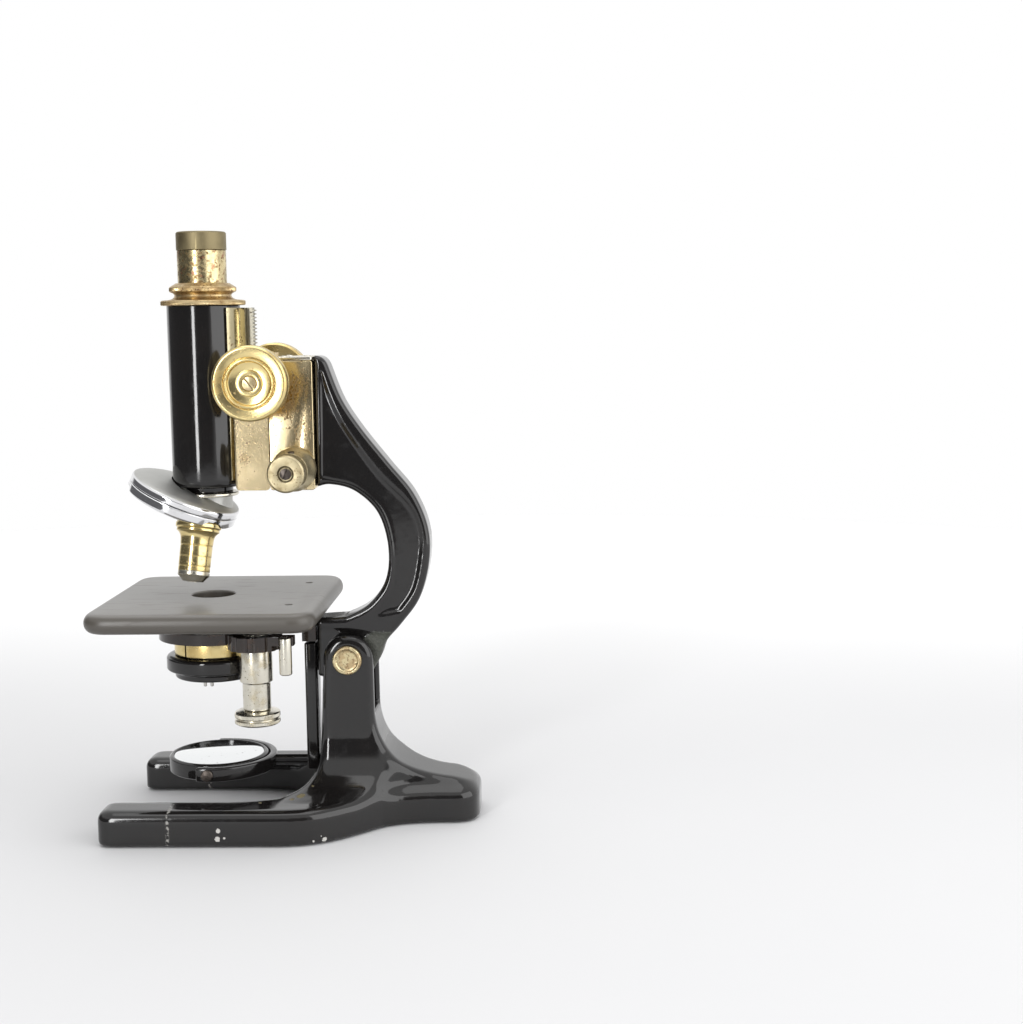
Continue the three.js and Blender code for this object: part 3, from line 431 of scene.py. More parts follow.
class Paint(Nodes):
    """A Principled material and the texture nodes that feed it, all in object space and millimetres."""

    def __init__(self, name, **values):
        self.material = bpy.data.materials.new(name)
        self.material.use_nodes = True
        super().__init__(self.material.node_tree)
        self.shader = self.tree.nodes["Principled BSDF"]
        self.place = self.node("ShaderNodeTexCoord").outputs["Object"]
        for socket, value in values.items():
            self.shader.inputs[socket.replace("_", " ")].default_value = value

    def set(self, socket, value):
        self.feed(self.shader.inputs[socket], value)

    def noise(self, size, detail=3.0, stretch=(1, 1, 1), seed=0.0):
        """Noise from 0 to 1 whose features are about `size` millimetres."""
        place = self.node("ShaderNodeMapping")
        place.inputs["Location"].default_value = (seed, seed * 0.7, -seed)
        place.inputs["Scale"].default_value = [s / (size * MM) for s in stretch]
        self.feed(place.inputs["Vector"], self.place)
        made = self.node("ShaderNodeTexNoise")
        made.inputs["Scale"].default_value = 1
        made.inputs["Detail"].default_value = detail
        self.feed(made.inputs["Vector"], place.outputs[0])
        return made.outputs[0]

    def distance_to(self, at):
        """The distance in metres from the point `at`."""
        away = self.node("ShaderNodeVectorMath", operation="DISTANCE")
        self.feed(away.inputs[0], self.place)
        away.inputs[1].default_value = OPTIC + Vector(at) * MM
        return away.outputs["Value"]

    def near(self, at, radius, ragged=0.6):
        """A blot of about `radius` round a point, with a ragged edge."""
        away = self.distance_to(at)
        edge = self.math("MULTIPLY", self.noise(radius * 0.7, 3, seed=at[0]), radius * 2 * ragged * MM)
        reach = self.math("ADD", away, edge)
        return self.step(reach, radius * (1.12 + ragged) * MM, radius * (0.95 + ragged) * MM)

    def closeness(self, at, reach, most):
        """`most` at a point, falling smoothly to 0 at `reach` from it."""
        return self.step(self.distance_to(at), reach * MM, 0.0, 0.0, most)

    def from_line(self, at, axis):
        """The distance in metres from the line through `at` along `axis`."""
        offset = self.node("ShaderNodeVectorMath", operation="SUBTRACT")
        self.feed(offset.inputs[0], self.place)
        offset.inputs[1].default_value = OPTIC + Vector(at) * MM
        across = self.node("ShaderNodeVectorMath", operation="CROSS_PRODUCT")
        self.feed(across.inputs[0], offset.outputs[0])
        across.inputs[1].default_value = axis
        length = self.node("ShaderNodeVectorMath", operation="LENGTH")
        self.feed(length.inputs[0], across.outputs[0])
        return length.outputs["Value"]

    def height(self, part="Z"):
        """The object's own X, Y or Z in millimetres, as this script counts them."""
        split = self.node("ShaderNodeSeparateXYZ")
        self.feed(split.inputs[0], self.place)
        metres = self.math("SUBTRACT", split.outputs[part], OPTIC["XYZ".index(part)])
        return self.math("DIVIDE", metres, MM)

    def worn_edge(self, low=0.53, high=0.62):
        """1 on outside edges, which lose their finish first."""
        shape = self.node("ShaderNodeNewGeometry").outputs["Pointiness"]
        return self.step(shape, low, high)

    def bump(self, height, depth, under=None):
        made = self.node("ShaderNodeBump")
        made.inputs["Distance"].default_value = depth * MM
        self.feed(made.inputs["Height"], height)
        if under:
            self.feed(made.inputs["Normal"], under)
        return made.outputs[0]

    def most(self, values):
        made = values[0]
        for value in values[1:]:
            made = self.math("MAXIMUM", made, value)
        return made


def enamel(name, chips=(), olive_chips=(), scratch_at=None, cast_at=None):
    """Old gloss black enamel. Chips show pale primer or olive metal; a cast patch was never rubbed smooth."""
    paint = Paint(name, Metallic=0.0, IOR=1.52, Coat_Weight=0.1, Coat_Roughness=0.06)
    cloud = paint.noise(22, 4)
    dust = paint.step(paint.noise(0.5, 2), 0.66, 0.78)
    rubbed = paint.step(paint.noise(5, 5, seed=3), 0.52, 0.72)
    colour = paint.mix(cloud, (0.0062, 0.0062, 0.0068), (0.0115, 0.0098, 0.0088))
    brown = paint.math("MULTIPLY", paint.worn_edge(), paint.between(rubbed, 0.35, 1.0))
    colour = paint.mix(brown, colour, (0.040, 0.020, 0.011))
    colour = paint.mix(paint.math("MULTIPLY", dust, 0.25), colour, (0.09, 0.085, 0.075))
    gloss = paint.between(rubbed, 0.09, 0.17)
    gloss = paint.between(dust, gloss, 0.35)
    ripple = paint.bump(paint.noise(11, 2), 0.05)
    normal = paint.bump(paint.noise(1.6, 3), 0.004, ripple)
    if chips:
        bare = paint.most([paint.near(at, radius) for at, radius in chips])
        colour = paint.mix(bare, colour, (0.52, 0.51, 0.48))
        gloss = paint.between(bare, gloss, 0.6)
        normal = paint.bump(bare, -0.12, normal)
    if olive_chips:
        bare = paint.most([paint.near(at, radius) for at, radius in olive_chips])
        colour = paint.mix(bare, colour, (0.16, 0.13, 0.055))
        gloss = paint.between(bare, gloss, 0.55)
        normal = paint.bump(bare, -0.1, normal)
    if scratch_at is not None:
        along = paint.math("ADD", paint.height("X"), paint.math("MULTIPLY", paint.noise(9, 3), 2.4))
        away = paint.math("ABSOLUTE", paint.math("SUBTRACT", along, scratch_at + 1.2))
        broken = paint.step(paint.noise(1.6, 5, seed=6), 0.47, 0.60)
        line = paint.math("MULTIPLY", paint.step(away, 1.3, 0.1), broken)
        colour = paint.mix(line, colour, (0.30, 0.29, 0.27))
        gloss = paint.between(line, gloss, 0.5)
    if cast_at:
        rough = paint.near(*cast_at, ragged=0.25)
        grain = paint.noise(1.3, 5)
        colour = paint.mix(rough, colour, paint.mix(grain, (0.010, 0.012, 0.009), (0.085, 0.088, 0.070)))
        gloss = paint.between(rough, gloss, 0.5)
        normal = paint.bump(paint.math("MULTIPLY", rough, grain), 0.5, normal)
    paint.set("Base Color", colour)
    paint.set("Roughness", gloss)
    paint.set("Normal", normal)
    return paint.material


def turned_metal(name, clean, stained, spots, gloss=0.16, stain=(0.45, 0.75), spot=(0.62, 0.70), lines=UP,
                 stain_size=9.0, spot_size=1.1, grain=0.004):
    """Bright metal with patches of stain, small dark spots, and fine lines running round `lines`."""
    paint = Paint(name, Metallic=1.0)
    patch = paint.step(paint.noise(stain_size, 5), *stain)
    pits = paint.step(paint.noise(spot_size, 3, seed=5), *spot)
    pits = paint.math("MULTIPLY", pits, paint.step(paint.noise(stain_size * 1.6, 3, seed=9), 0.35, 0.62))
    colour = paint.mix(patch, clean, stained)
    colour = paint.mix(pits, colour, spots)
    fine = [30 if abs(part) > 0.5 else 1 for part in lines]
    brushed = paint.noise(7, 2, stretch=fine, seed=2)
    shine = paint.between(patch, gloss, gloss * 1.7)
    shine = paint.between(pits, shine, 0.55)
    shine = paint.math("ADD", shine, paint.math("MULTIPLY", brushed, gloss * 0.35))
    normal = paint.bump(brushed, grain)
    normal = paint.bump(pits, -0.03, normal)
    paint.set("Base Color", colour)
    paint.set("Roughness", shine)
    paint.set("Normal", normal)
    return paint.material


def satin_brass(name, deep=(0.63, 0.51, 0.29), pale=(0.78, 0.65, 0.41), dark_at=(), dark=(0.17, 0.105, 0.05)):
    """Lacquered brass of the focusing blocks. Brown freckles crowd together round some places."""
    paint = Paint(name, Metallic=1.0)
    cloud = paint.noise(14, 4)
    colour = paint.mix(cloud, deep, pale)
    scratched = paint.step(paint.noise(6, 5, stretch=(6, 6, 0.4), seed=4), 0.55, 0.7)
    colour = paint.mix(paint.math("MULTIPLY", scratched, 0.4), colour, (0.50, 0.39, 0.20))
    freckle = paint.noise(1.1, 4, stretch=(1, 1, 0.6), seed=7)
    spread = paint.math("MULTIPLY", paint.step(paint.noise(16, 3, seed=2), 0.4, 0.75), 0.05)
    if dark_at:
        spread = paint.most([spread, *(paint.closeness(at, reach, most) for at, reach, most in dark_at)])
    tarnish = paint.step(paint.math("ADD", freckle, spread), 0.64, 0.71)
    colour = paint.mix(paint.math("MULTIPLY", tarnish, 0.85), colour, dark)
    stained = paint.step(spread, 0.05, 0.16)
    colour = paint.mix(paint.math("MULTIPLY", stained, 0.4), colour, (0.42, 0.29, 0.13))
    gloss = paint.between(cloud, 0.16, 0.24)
    gloss = paint.between(tarnish, gloss, 0.6)
    drawn = paint.noise(5, 2, stretch=(12, 12, 0.5), seed=1)
    paint.set("Base Color", colour)
    paint.set("Roughness", gloss)
    paint.set("Normal", paint.bump(tarnish, -0.02, paint.bump(drawn, 0.006)))
    return paint.material


def frosted_chrome(name, at, axis, rim):
    """Chrome that is polished beyond `rim` from its axis and frosted inside it."""
    paint = Paint(name, Metallic=1.0)
    polished = paint.step(paint.from_line(at, axis), (rim - 0.9) * MM, (rim - 0.3) * MM)
    grain = paint.noise(0.6, 3)
    haze = paint.noise(8, 4, seed=3)
    rubbed = paint.mix(haze, (0.44, 0.44, 0.42), (0.56, 0.56, 0.54))
    paint.set("Base Color", paint.mix(polished, rubbed, (0.78, 0.78, 0.79)))
    paint.set("Roughness", paint.between(polished, paint.between(haze, 0.42, 0.52), 0.09))
    paint.set("Normal", paint.bump(grain, 0.006))
    return paint.material


def mottled_brass():
    """The drawtube: bare brass that fingers have mottled yellow, olive and red-brown."""
    paint = Paint("spotted_brass", Metallic=1.0)
    wide = paint.noise(7, 6, stretch=(1, 1, 0.8))
    small = paint.noise(1.9, 5, seed=6)
    colour = paint.mix(paint.step(wide, 0.36, 0.62), (0.72, 0.60, 0.34), (0.40, 0.33, 0.18))
    colour = paint.mix(paint.step(small, 0.50, 0.66), colour, (0.24, 0.16, 0.075))
    colour = paint.mix(paint.step(paint.noise(3.1, 4, seed=8), 0.57, 0.68), colour, (0.38, 0.21, 0.12))
    paint.set("Base Color", colour)
    paint.set("Roughness", paint.between(paint.step(small, 0.42, 0.66), 0.22, 0.46))
    ring = paint.noise(6, 2, stretch=(1, 1, 26))
    paint.set("Normal", paint.bump(small, 0.02, paint.bump(ring, 0.006)))
    return paint.material


def olive_band():
    """The eyepiece's head: matt, dark and evenly tarnished."""
    paint = Paint("eyepiece_brass", Metallic=1.0)
    cloud = paint.noise(4, 5)
    colour = paint.mix(cloud, (0.19, 0.155, 0.085), (0.30, 0.25, 0.145))
    colour = paint.mix(paint.worn_edge(0.52, 0.6), colour, (0.46, 0.38, 0.21))
    paint.set("Base Color", colour)
    paint.set("Roughness", paint.between(cloud, 0.42, 0.60))
    paint.set("Normal", paint.bump(paint.noise(0.8, 3), 0.02))
    return paint.material


def rubber():
    """The stage: warm grey vulcanite, faded where it is handled, with fine scratches."""
    paint = Paint("vulcanite", Metallic=0.0, IOR=1.55)
    cloud = paint.noise(34, 4)
    colour = paint.mix(cloud, (0.152, 0.145, 0.134), (0.192, 0.184, 0.172))
    speck = paint.step(paint.noise(0.9, 3), 0.64, 0.74)
    colour = paint.mix(paint.math("MULTIPLY", speck, 0.5), colour, (0.24, 0.225, 0.21))
    rub = paint.step(paint.noise(7, 6, stretch=(0.35, 3, 1), seed=4), 0.58, 0.70)
    colour = paint.mix(paint.math("MULTIPLY", rub, 0.35), colour, (0.19, 0.172, 0.155))
    side = paint.step(paint.height(), STAGE.z1 - 0.2, STAGE.z1 - 1.8)
    colour = paint.mix(paint.math("MULTIPLY", side, 0.85), colour, (0.058, 0.050, 0.040))
    paint.set("Base Color", colour)
    paint.set("Roughness", paint.between(rub, paint.between(cloud, 0.30, 0.38), 0.48))
    paint.set("Normal", paint.bump(speck, 0.01, paint.bump(paint.noise(3, 4), 0.012)))
    return paint.material


def glass():
    paint = Paint("optical_glass", Metallic=0.0, Roughness=0.03, IOR=1.52, Transmission_Weight=1.0)
    dust = paint.step(paint.noise(0.7, 3), 0.6, 0.8)
    paint.set("Base Color", paint.mix(dust, (0.97, 0.985, 0.98), (0.80, 0.83, 0.82)))
    return paint.material


def silvered():
    """Front of a mirror whose silver has a few grey spots near its rim."""
    paint = Paint("silvered_mirror", Metallic=1.0)
    spots = paint.step(paint.noise(2.4, 5), 0.66, 0.74)
    film = paint.noise(18, 3)
    colour = paint.mix(film, (0.90, 0.91, 0.91), (0.84, 0.86, 0.87))
    paint.set("Base Color", paint.mix(spots, colour, (0.42, 0.41, 0.40)))
    paint.set("Roughness", paint.between(spots, paint.between(film, 0.03, 0.07), 0.5))
    return paint.material


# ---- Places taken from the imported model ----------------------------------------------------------

STAGE = Node("stage_plate")
TUBE = Node("body_tube")
FOOT = Node("foot_casting")
LIMB = Node("limb_casting")
PIVOT = centre_of("inclination")
PINION = centre_of("pinion_spin")
FINE = centre_of("fine_spin")
APEX = centre_of("nosepiece_turn")
POST = centre_of("substage_screw_turn")
MIRROR = centre_of("mirror_tilt")
AXIS = Vector((0, 0, 0))
BLOCK_HALF = Node("focus_block").y1
BLOCK_LOW = Node("focus_block").z0

ENAMEL = enamel("black_enamel")
FOOT_ENAMEL = enamel(
    "foot_enamel",
    chips=[
        ((11, FOOT.y0, 5), 1.3), ((11.5, FOOT.y0, 9.3), 1.1), ((14.5, FOOT.y0, 5.5), 0.6),
        ((65, -56, 2.8), 1.3), ((-46, -60, 3), 0.8), ((63.5, -57, 5), 0.7), ((88.2, -6, 66), 1.0),
        ((87.6, -9, 71), 0.7),
        ((59.5, -58.3, 2.5), 0.6), ((FOOT.x1 - 2, -12, 6), 0.9),
    ],
    olive_chips=[((50, -37, 20), 2.2), ((46, -40, 18.4), 1.4), ((55, -30, 24), 1.2), ((30, -44, 18), 1.0)],
    scratch_at=-14.5,
)
LIMB_ENAMEL = enamel("limb_enamel", cast_at=((90.5, -9, 90), 11))
CHROME = turned_metal(
    "chrome", (0.80, 0.80, 0.81), (0.66, 0.66, 0.66), (0.32, 0.30, 0.27), gloss=0.06, stain=(0.5, 0.8),
    spot=(0.68, 0.74), grain=0.0015,
)
NICKEL = turned_metal(
    "nickel", (0.70, 0.67, 0.58), (0.56, 0.50, 0.37), (0.24, 0.20, 0.14), gloss=0.17, stain_size=6,
)
STEEL = turned_metal(
    "steel", (0.52, 0.51, 0.49), (0.34, 0.31, 0.27), (0.16, 0.12, 0.09), gloss=0.26, stain_size=5,
)
DARK_STEEL = turned_metal(
    "dark_steel", (0.10, 0.085, 0.075), (0.055, 0.045, 0.04), (0.18, 0.15, 0.12), gloss=0.32, stain_size=2,
)
RACK_METAL = turned_metal(
    "rack_metal", (0.36, 0.34, 0.28), (0.27, 0.25, 0.19), (0.10, 0.08, 0.06), gloss=0.34, stain_size=5,
)
GOLD = turned_metal(
    "gold_brass", (0.74, 0.60, 0.29), (0.62, 0.46, 0.19), (0.30, 0.18, 0.07), gloss=0.17, lines=NEAR,
    spot=(0.64, 0.71),
)
COLLAR_GOLD = turned_metal(
    "collar_brass", (0.60, 0.47, 0.26), (0.40, 0.28, 0.14), (0.20, 0.11, 0.055), gloss=0.24, stain_size=5,
    stain=(0.36, 0.66), spot=(0.55, 0.64),
)
DULL = turned_metal(
    "knob_brass", (0.50, 0.43, 0.27), (0.38, 0.31, 0.18), (0.19, 0.13, 0.07), gloss=0.30, lines=NEAR,
    stain_size=4, spot=(0.60, 0.68),
)
CAP_BRASS = turned_metal(
    "cap_brass", (0.62, 0.53, 0.32), (0.46, 0.35, 0.20), (0.24, 0.16, 0.09), gloss=0.24, lines=NEAR,
    stain_size=3, stain=(0.40, 0.62), spot=(0.54, 0.62),
)
COARSE_BRASS = satin_brass(
    "coarse_block_brass", dark=(0.22, 0.15, 0.12),
    dark_at=[((22, -BLOCK_HALF, 194.5), 6, 0.17), ((34, -BLOCK_HALF, 209), 6, 0.11)],
)
FINE_BRASS = satin_brass(
    "fine_block_brass",
    dark_at=[
        ((50, -BLOCK_HALF, 232), 13, 0.20), ((46, -BLOCK_HALF, 221), 11, 0.20),
        ((52, -BLOCK_HALF, 210), 12, 0.13),
    ],
)
SLIDE_BRASS = satin_brass("slide_brass", (0.36, 0.31, 0.19), (0.52, 0.46, 0.30))
DRAW_BRASS = mottled_brass()
HEAD_BRASS = olive_band()
VULCANITE = rubber()
GLASS = glass()
SILVERED = silvered()


def stands_for(name, mesh, body, material):
    """A finished piece that stands for the CAD node `name`."""
    return finished(name + "_fine", mesh, body, material, [name])


def turned(name, profile, at, axis, body, material, slot, **options):
    """A lathe-turned piece that stands for the CAD node of the same name."""
    return stands_for(name, as_mesh(name, lathe(profile, at, axis, **options)), body, material)


def lens(name, profile, at, axis, body, **options):
    turned(name, profile, at, axis, body, GLASS, "optical_glass", radius=0.1, **options)


# ---- Foot ----------------------------------------------------------------------------------------

PRONG_IN = 38
CHEEK_R = FOOT.z1 - PIVOT.z
CHEEK_OUT = 17.5
SLOT_HALF = 10.4
FOOT_TOP = 18.5
PAD = 1.0


def mirrored(half):
    """A closed outline from its near half, whose ends lie on the middle plane."""
    return half + [(x, -y) for x, y in reversed(half[1:-1])]


def foot_plan():
    heel, side, tip = FOOT.x1, FOOT.y0, FOOT.x0
    half = [(heel, 0), (heel, -8)]
    half += quadratic(half[-1], (heel, -23), (heel - 14, -23))
    half += quadratic(half[-1], (105, -22), (92, -31))
    half += quadratic(half[-1], (72, -53), (62, -57))
    half += quadratic(half[-1], (53, side), (40, side))
    half.append((tip + 9, side))
    half += quadratic(half[-1], (tip, side), (tip, side + 9))
    half.append((tip, -PRONG_IN - 7))
    half += quadratic(half[-1], (tip, -PRONG_IN), (tip + 7, -PRONG_IN))
    half.append((12, -PRONG_IN))
    half += bezier(half[-1], (38, -36), (57, -26), (57.5, 0), 16)
    return mirrored(half)


def pillar_side():
    x, z = PIVOT.x, PIVOT.z
    outline = [(x - CHEEK_R, z), (57.6, 36)]
    outline += quadratic(outline[-1], (57, 22), (40, 17))
    outline += [(40, 6), (FOOT.x1 - 1, 6)]
    outline += quadratic(outline[-1], (FOOT.x1 - 0.5, 20), (128, 23))
    outline += bezier(outline[-1], (104, 25.5), (88.5, 36), (86.9, 58), 14)
    return outline + arc(CHEEK_R, 0, 180, 24, (x, z))


def pillar_front():
    width = -FOOT.y0 - 10
    half = [(-CHEEK_OUT, PIVOT.z + CHEEK_R + 1), (-CHEEK_OUT, 50)]
    half += bezier(half[-1], (-CHEEK_OUT - 0.5, 30), (-28, 20), (-width, 14), 14)
    half.append((-width, 5))
    return half + [(-y, z) for y, z in reversed(half)]


def ridge_plan():
    heel = FOOT.x1
    half = [(40, -45), (60, -45)]
    half += quadratic(half[-1], (84, -40), (92, -26))
    half += quadratic(half[-1], (100, -17), (122, -16))
    half.append((130, -16))
    half += quadratic(half[-1], (heel, -14), (heel, 0))
    return half + [(x, -y) for x, y in reversed(half[:-1])]


def foot_field(x, y, z):
    """The casting: a horseshoe, the pillar that grows out of it, two cheeks with a slot, and three pads."""
    plan = distance(foot_plan(), x[:, :, 0], y[:, :, 0])[:, :, None]
    base = both(plan, z - FOOT_TOP, 5.2)
    side = distance(pillar_side(), x[:, :, 0], z[:, 0, :])[:, None, :]
    front = distance(pillar_front(), y[:, :, 0].T, z[0])[None, :, :]
    ridge = distance(ridge_plan(), x[:, :, 0], y[:, :, 0])[:, :, None]
    upper = np.clip((z - 40) / 30, 0, 1)
    pillar = both(both(side, front, 4.5 - 0.7 * upper), ridge, 4.0)
    pillar = np.maximum(pillar, -both(x - 57.2, -plan, 2.0))
    casting = np.maximum(either(base, pillar, 5.0 - 3.5 * upper), np.where(z < FOOT_TOP + 6, plan, -1))
    slot = np.maximum(np.abs(y) - SLOT_HALF, 58 - z)
    casting = np.maximum(casting, -slot)
    bolt = np.hypot(x - PIVOT.x, z - PIVOT.z) - 4.3
    casting = np.maximum(casting, -bolt)
    casting = np.maximum(casting, PAD - z)
    prong_pad = np.maximum(np.abs(x + 44.5) - 4.5, np.abs(np.abs(y) - 49.5) - 8.5)
    heel_pad = np.maximum(np.abs(x - 132.7) - 5.8, np.abs(y) - 18)
    pads = np.maximum(np.minimum(prong_pad, heel_pad), np.maximum(-z, z - PAD - 2))
    return np.minimum(casting, pads)


def build_foot():
    step = 1.0
    low = (FOOT.x0 - 1.5, FOOT.y0 - 1.5, -1.45)
    high = (FOOT.x1 + 1.5, FOOT.y1 + 1.5, FOOT.z1 + 1.5)
    mesh = surface(foot_field, low, high, step)
    stands_for("foot_casting", mesh, "foot", FOOT_ENAMEL)
    cap = [(0, 0), (7.7, 0), (7.7, 2), (7.1, 2.75), (6.1, 2.75), (5.5, 2.2), (4.6, 2.0), (0, 2.1)]
    for name, side in (("left", -1), ("right", 1)):
        at = (PIVOT.x, side * (CHEEK_OUT + 0.15), PIVOT.z)
        turned(name + "_pivot_cap", cap, at, (0, side, 0), "foot", CAP_BRASS, "dull_brass", radius=0.3)
    bolt = [(0, -CHEEK_OUT), (4, -CHEEK_OUT), (4, CHEEK_OUT), (0, CHEEK_OUT)]
    turned("inclination_bolt", bolt, PIVOT, FAR, "foot", STEEL, "steel", sides=48)


# ---- Limb ----------------------------------------------------------------------------------------

LIMB_HALF = LIMB.y1
WEB = 1.0  # how far the flat of the limb is recessed below its bead
LIMB_FACE = 58.6
BACK = [
    (66.5, 240.7), (72.7, 224.6), (82.4, 209.3), (96.7, 190.9), (109.4, 174.8), (116.7, 156.5), (117, 138),
    (111.5, 118.7), (101.4, 104.9), (93.4, 95.7), (90, 87), (84, 77),
]
THROAT = [
    (LIMB_FACE, 178.5), (65.7, 179.8), (78.4, 176.2), (90.3, 164.5), (95.3, 146), (93.4, 128.4),
    (84, 115.6),
    (72, 109.3),
]
FLAT_BACK = [
    (62.4, 240), (66.1, 227.6), (73.7, 210.6), (91, 185.8), (106.3, 170.1), (112.2, 158.5), (113.2, 146),
    (109.2, 125), (101, 112.5),
]
FLAT_THROAT = [(90, 110.5), (96.5, 124), (98.2, 145), (93, 166), (79.5, 179), (67, 182.6), (61.4, 184)]


def limb_outline():
    outline = [(LIMB_FACE, LIMB.z1)]
    outline += quadratic(outline[-1], (64.5, LIMB.z1 + 0.6), BACK[0])
    outline += spline(BACK)[1:]
    outline += quadratic(outline[-1], (78, 72.6), (70, LIMB.z0))
    outline += [(56.2, 77), (56.2, 108.3)]
    return outline + list(reversed(spline(THROAT)))


def limb_field(x, y, z):
    """The casting: rounded edges, a recessed web on both sides, and a lug stepped in to fit the foot."""
    side = distance(limb_outline(), x[:, :, 0], z[:, 0, :])[:, None, :]
    flat = distance(spline(FLAT_BACK) + spline(FLAT_THROAT), x[:, :, 0], z[:, 0, :])[:, None, :]
    lug = np.clip((103 - z - 0.12 * (x - 73)) / 1.5, 0, 1) * 0.9
    casting = both(side, np.abs(y) - (LIMB_HALF - lug), 2.6)
    recess = both(flat, (LIMB_HALF - WEB) - np.abs(y), 0.8)
    casting = np.maximum(casting, -recess)
    bolt = np.hypot(x - PIVOT.x, z - PIVOT.z) - 4.1
    notch = np.maximum(np.maximum(x - 59, np.abs(y) - 7.3), np.maximum(z - 95, 60 - z))
    casting = np.maximum(np.maximum(casting, -bolt), -notch)
    face = np.maximum(LIMB_FACE - x, 150 - z)
    return np.where((z > 150) & (casting < 0), np.maximum(casting, face), casting)


def build_limb():
    step = 0.75
    low = (LIMB.x0 - 1.2, LIMB.y0 - 1.2, LIMB.z0 - 1.2)
    high = (LIMB.x1 + 1.2, LIMB.y1 + 1.2, LIMB.z1 + 1.2)
    mesh = surface(limb_field, low, high, step)
    stands_for("limb_casting", mesh, "limb", LIMB_ENAMEL)


# ---- Focusing blocks -----------------------------------------------------------------------------

GAP = 0.15
PINION_BORE = 3.1
FINE_BORE = 2.1
SPLIT = Node("focus_block").x0 - GAP  # plane between the sliding block and the fixed one
COARSE_TOP = Node("coarse_block").z1
FINE_TOP = Node("focus_block").z1
COARSE_FRONT = Node("coarse_block").x0
DOVETAIL = {"neck": 5, "flare": 7.6, "front": 20, "back": 23.2}


def dovetail(spread, x0, x1):
    neck, flare, front, back = (DOVETAIL[key] for key in ("neck", "flare", "front", "back"))
    half = [
        (x0, -neck - spread), (front, -neck - spread), (back + spread, -flare - spread),
        (x1, -flare - spread),
    ]
    return half + [(x, -y) for x, y in reversed(half)]


def build_blocks():
    side = rectangle(COARSE_FRONT, SPLIT - GAP, BLOCK_LOW, COARSE_TOP, 2.5)
    mesh = as_mesh("coarse_block", prism(side, -BLOCK_HALF, BLOCK_HALF, "xz"))
    tongue = box(SPLIT - 2, 38, -5.7, 5.7, BLOCK_LOW + 3, COARSE_TOP - 0.5)
    arm = box(36, 45.4, -2.2, 2.2, 198.5, 212)
    bearing = pin(5.6, -BLOCK_HALF, BLOCK_HALF, PINION, FAR, 64)
    mesh = cut(mesh, [tongue, arm, bearing], "UNION")
    mesh = cut(mesh, [
        pin(20.9, 150, 270, sides=160),
        prism(dovetail(0.2, 10, DOVETAIL["back"] + 0.6), 150, 270),
        box(18, 28.2, -3.6, 3.6, 150, 270),
        pin(4.6, -3.7, 3.7, PINION, FAR),
        pin(PINION_BORE, -30, 30, PINION, FAR),
        pin(1.6, 190, 206, (43, 0, 0)),
    ])
    stands_for("coarse_block", bevelled(mesh, 0.45), "fine_carriage", COARSE_BRASS)

    side = rectangle(SPLIT + GAP, LIMB_FACE - GAP, BLOCK_LOW, FINE_TOP, 1.6)
    mesh = as_mesh("focus_block", prism(side, -BLOCK_HALF, BLOCK_HALF, "xz"))
    mesh = cut(mesh, [
        box(SPLIT - 1, 38.3, -5.9, 5.9, 170, 250),
        box(SPLIT - 1, 37.6, -20, 20, PINION.z - 8.2, PINION.z + 8.2),
        box(41.5, 54.5, -10.8, 10.8, 182, 210),
        box(37, 46, -2.6, 2.6, 195, 216),
        pin(FINE_BORE, -20, 20, FINE, FAR),
    ])
    stands_for("focus_block", bevelled(mesh, 0.45), "limb", FINE_BRASS)

    cap = prism(rectangle(38.6, LIMB_FACE - GAP, -BLOCK_HALF, BLOCK_HALF, 1.5), FINE_TOP + GAP, FINE_TOP + 2)
    mesh = bevelled(as_mesh("focus_block_cap", cap), 0.4)
    stands_for("focus_block_cap", mesh, "limb", NICKEL)
    for number, (x, y) in enumerate([(43, -9), (43, 9), (54, 0)]):
        slotted_screw(f"cap_screw_{number}", 1.9, (x, y, FINE_TOP + 1.6), UP, "limb", NICKEL, 0.25)


def slotted_screw(name, r, at, axis, body, material, dome=0.5, nodes=(), turn=0.0):
    """A small domed screw head standing on `at`, with its slot turned by `turn` degrees."""
    height = r * 0.35
    head = lathe([(0, -0.6), (r, -0.6), (r, height), (0, height + dome)], at, axis, 0.25, 40)
    place = to_axis(axis, at) @ Matrix.Rotation(math.radians(turn), 4, "Z")
    blade = box(-r * 1.2, r * 1.2, -r * 0.14, r * 0.14, min(0, height - 0.6), height + dome + 1)
    bmesh.ops.transform(blade, matrix=place, verts=blade.verts)
    return finished(name, cut(as_mesh(name, head), [blade]), body, material, nodes)


# ---- Focusing knobs ------------------------------------------------------------------------------

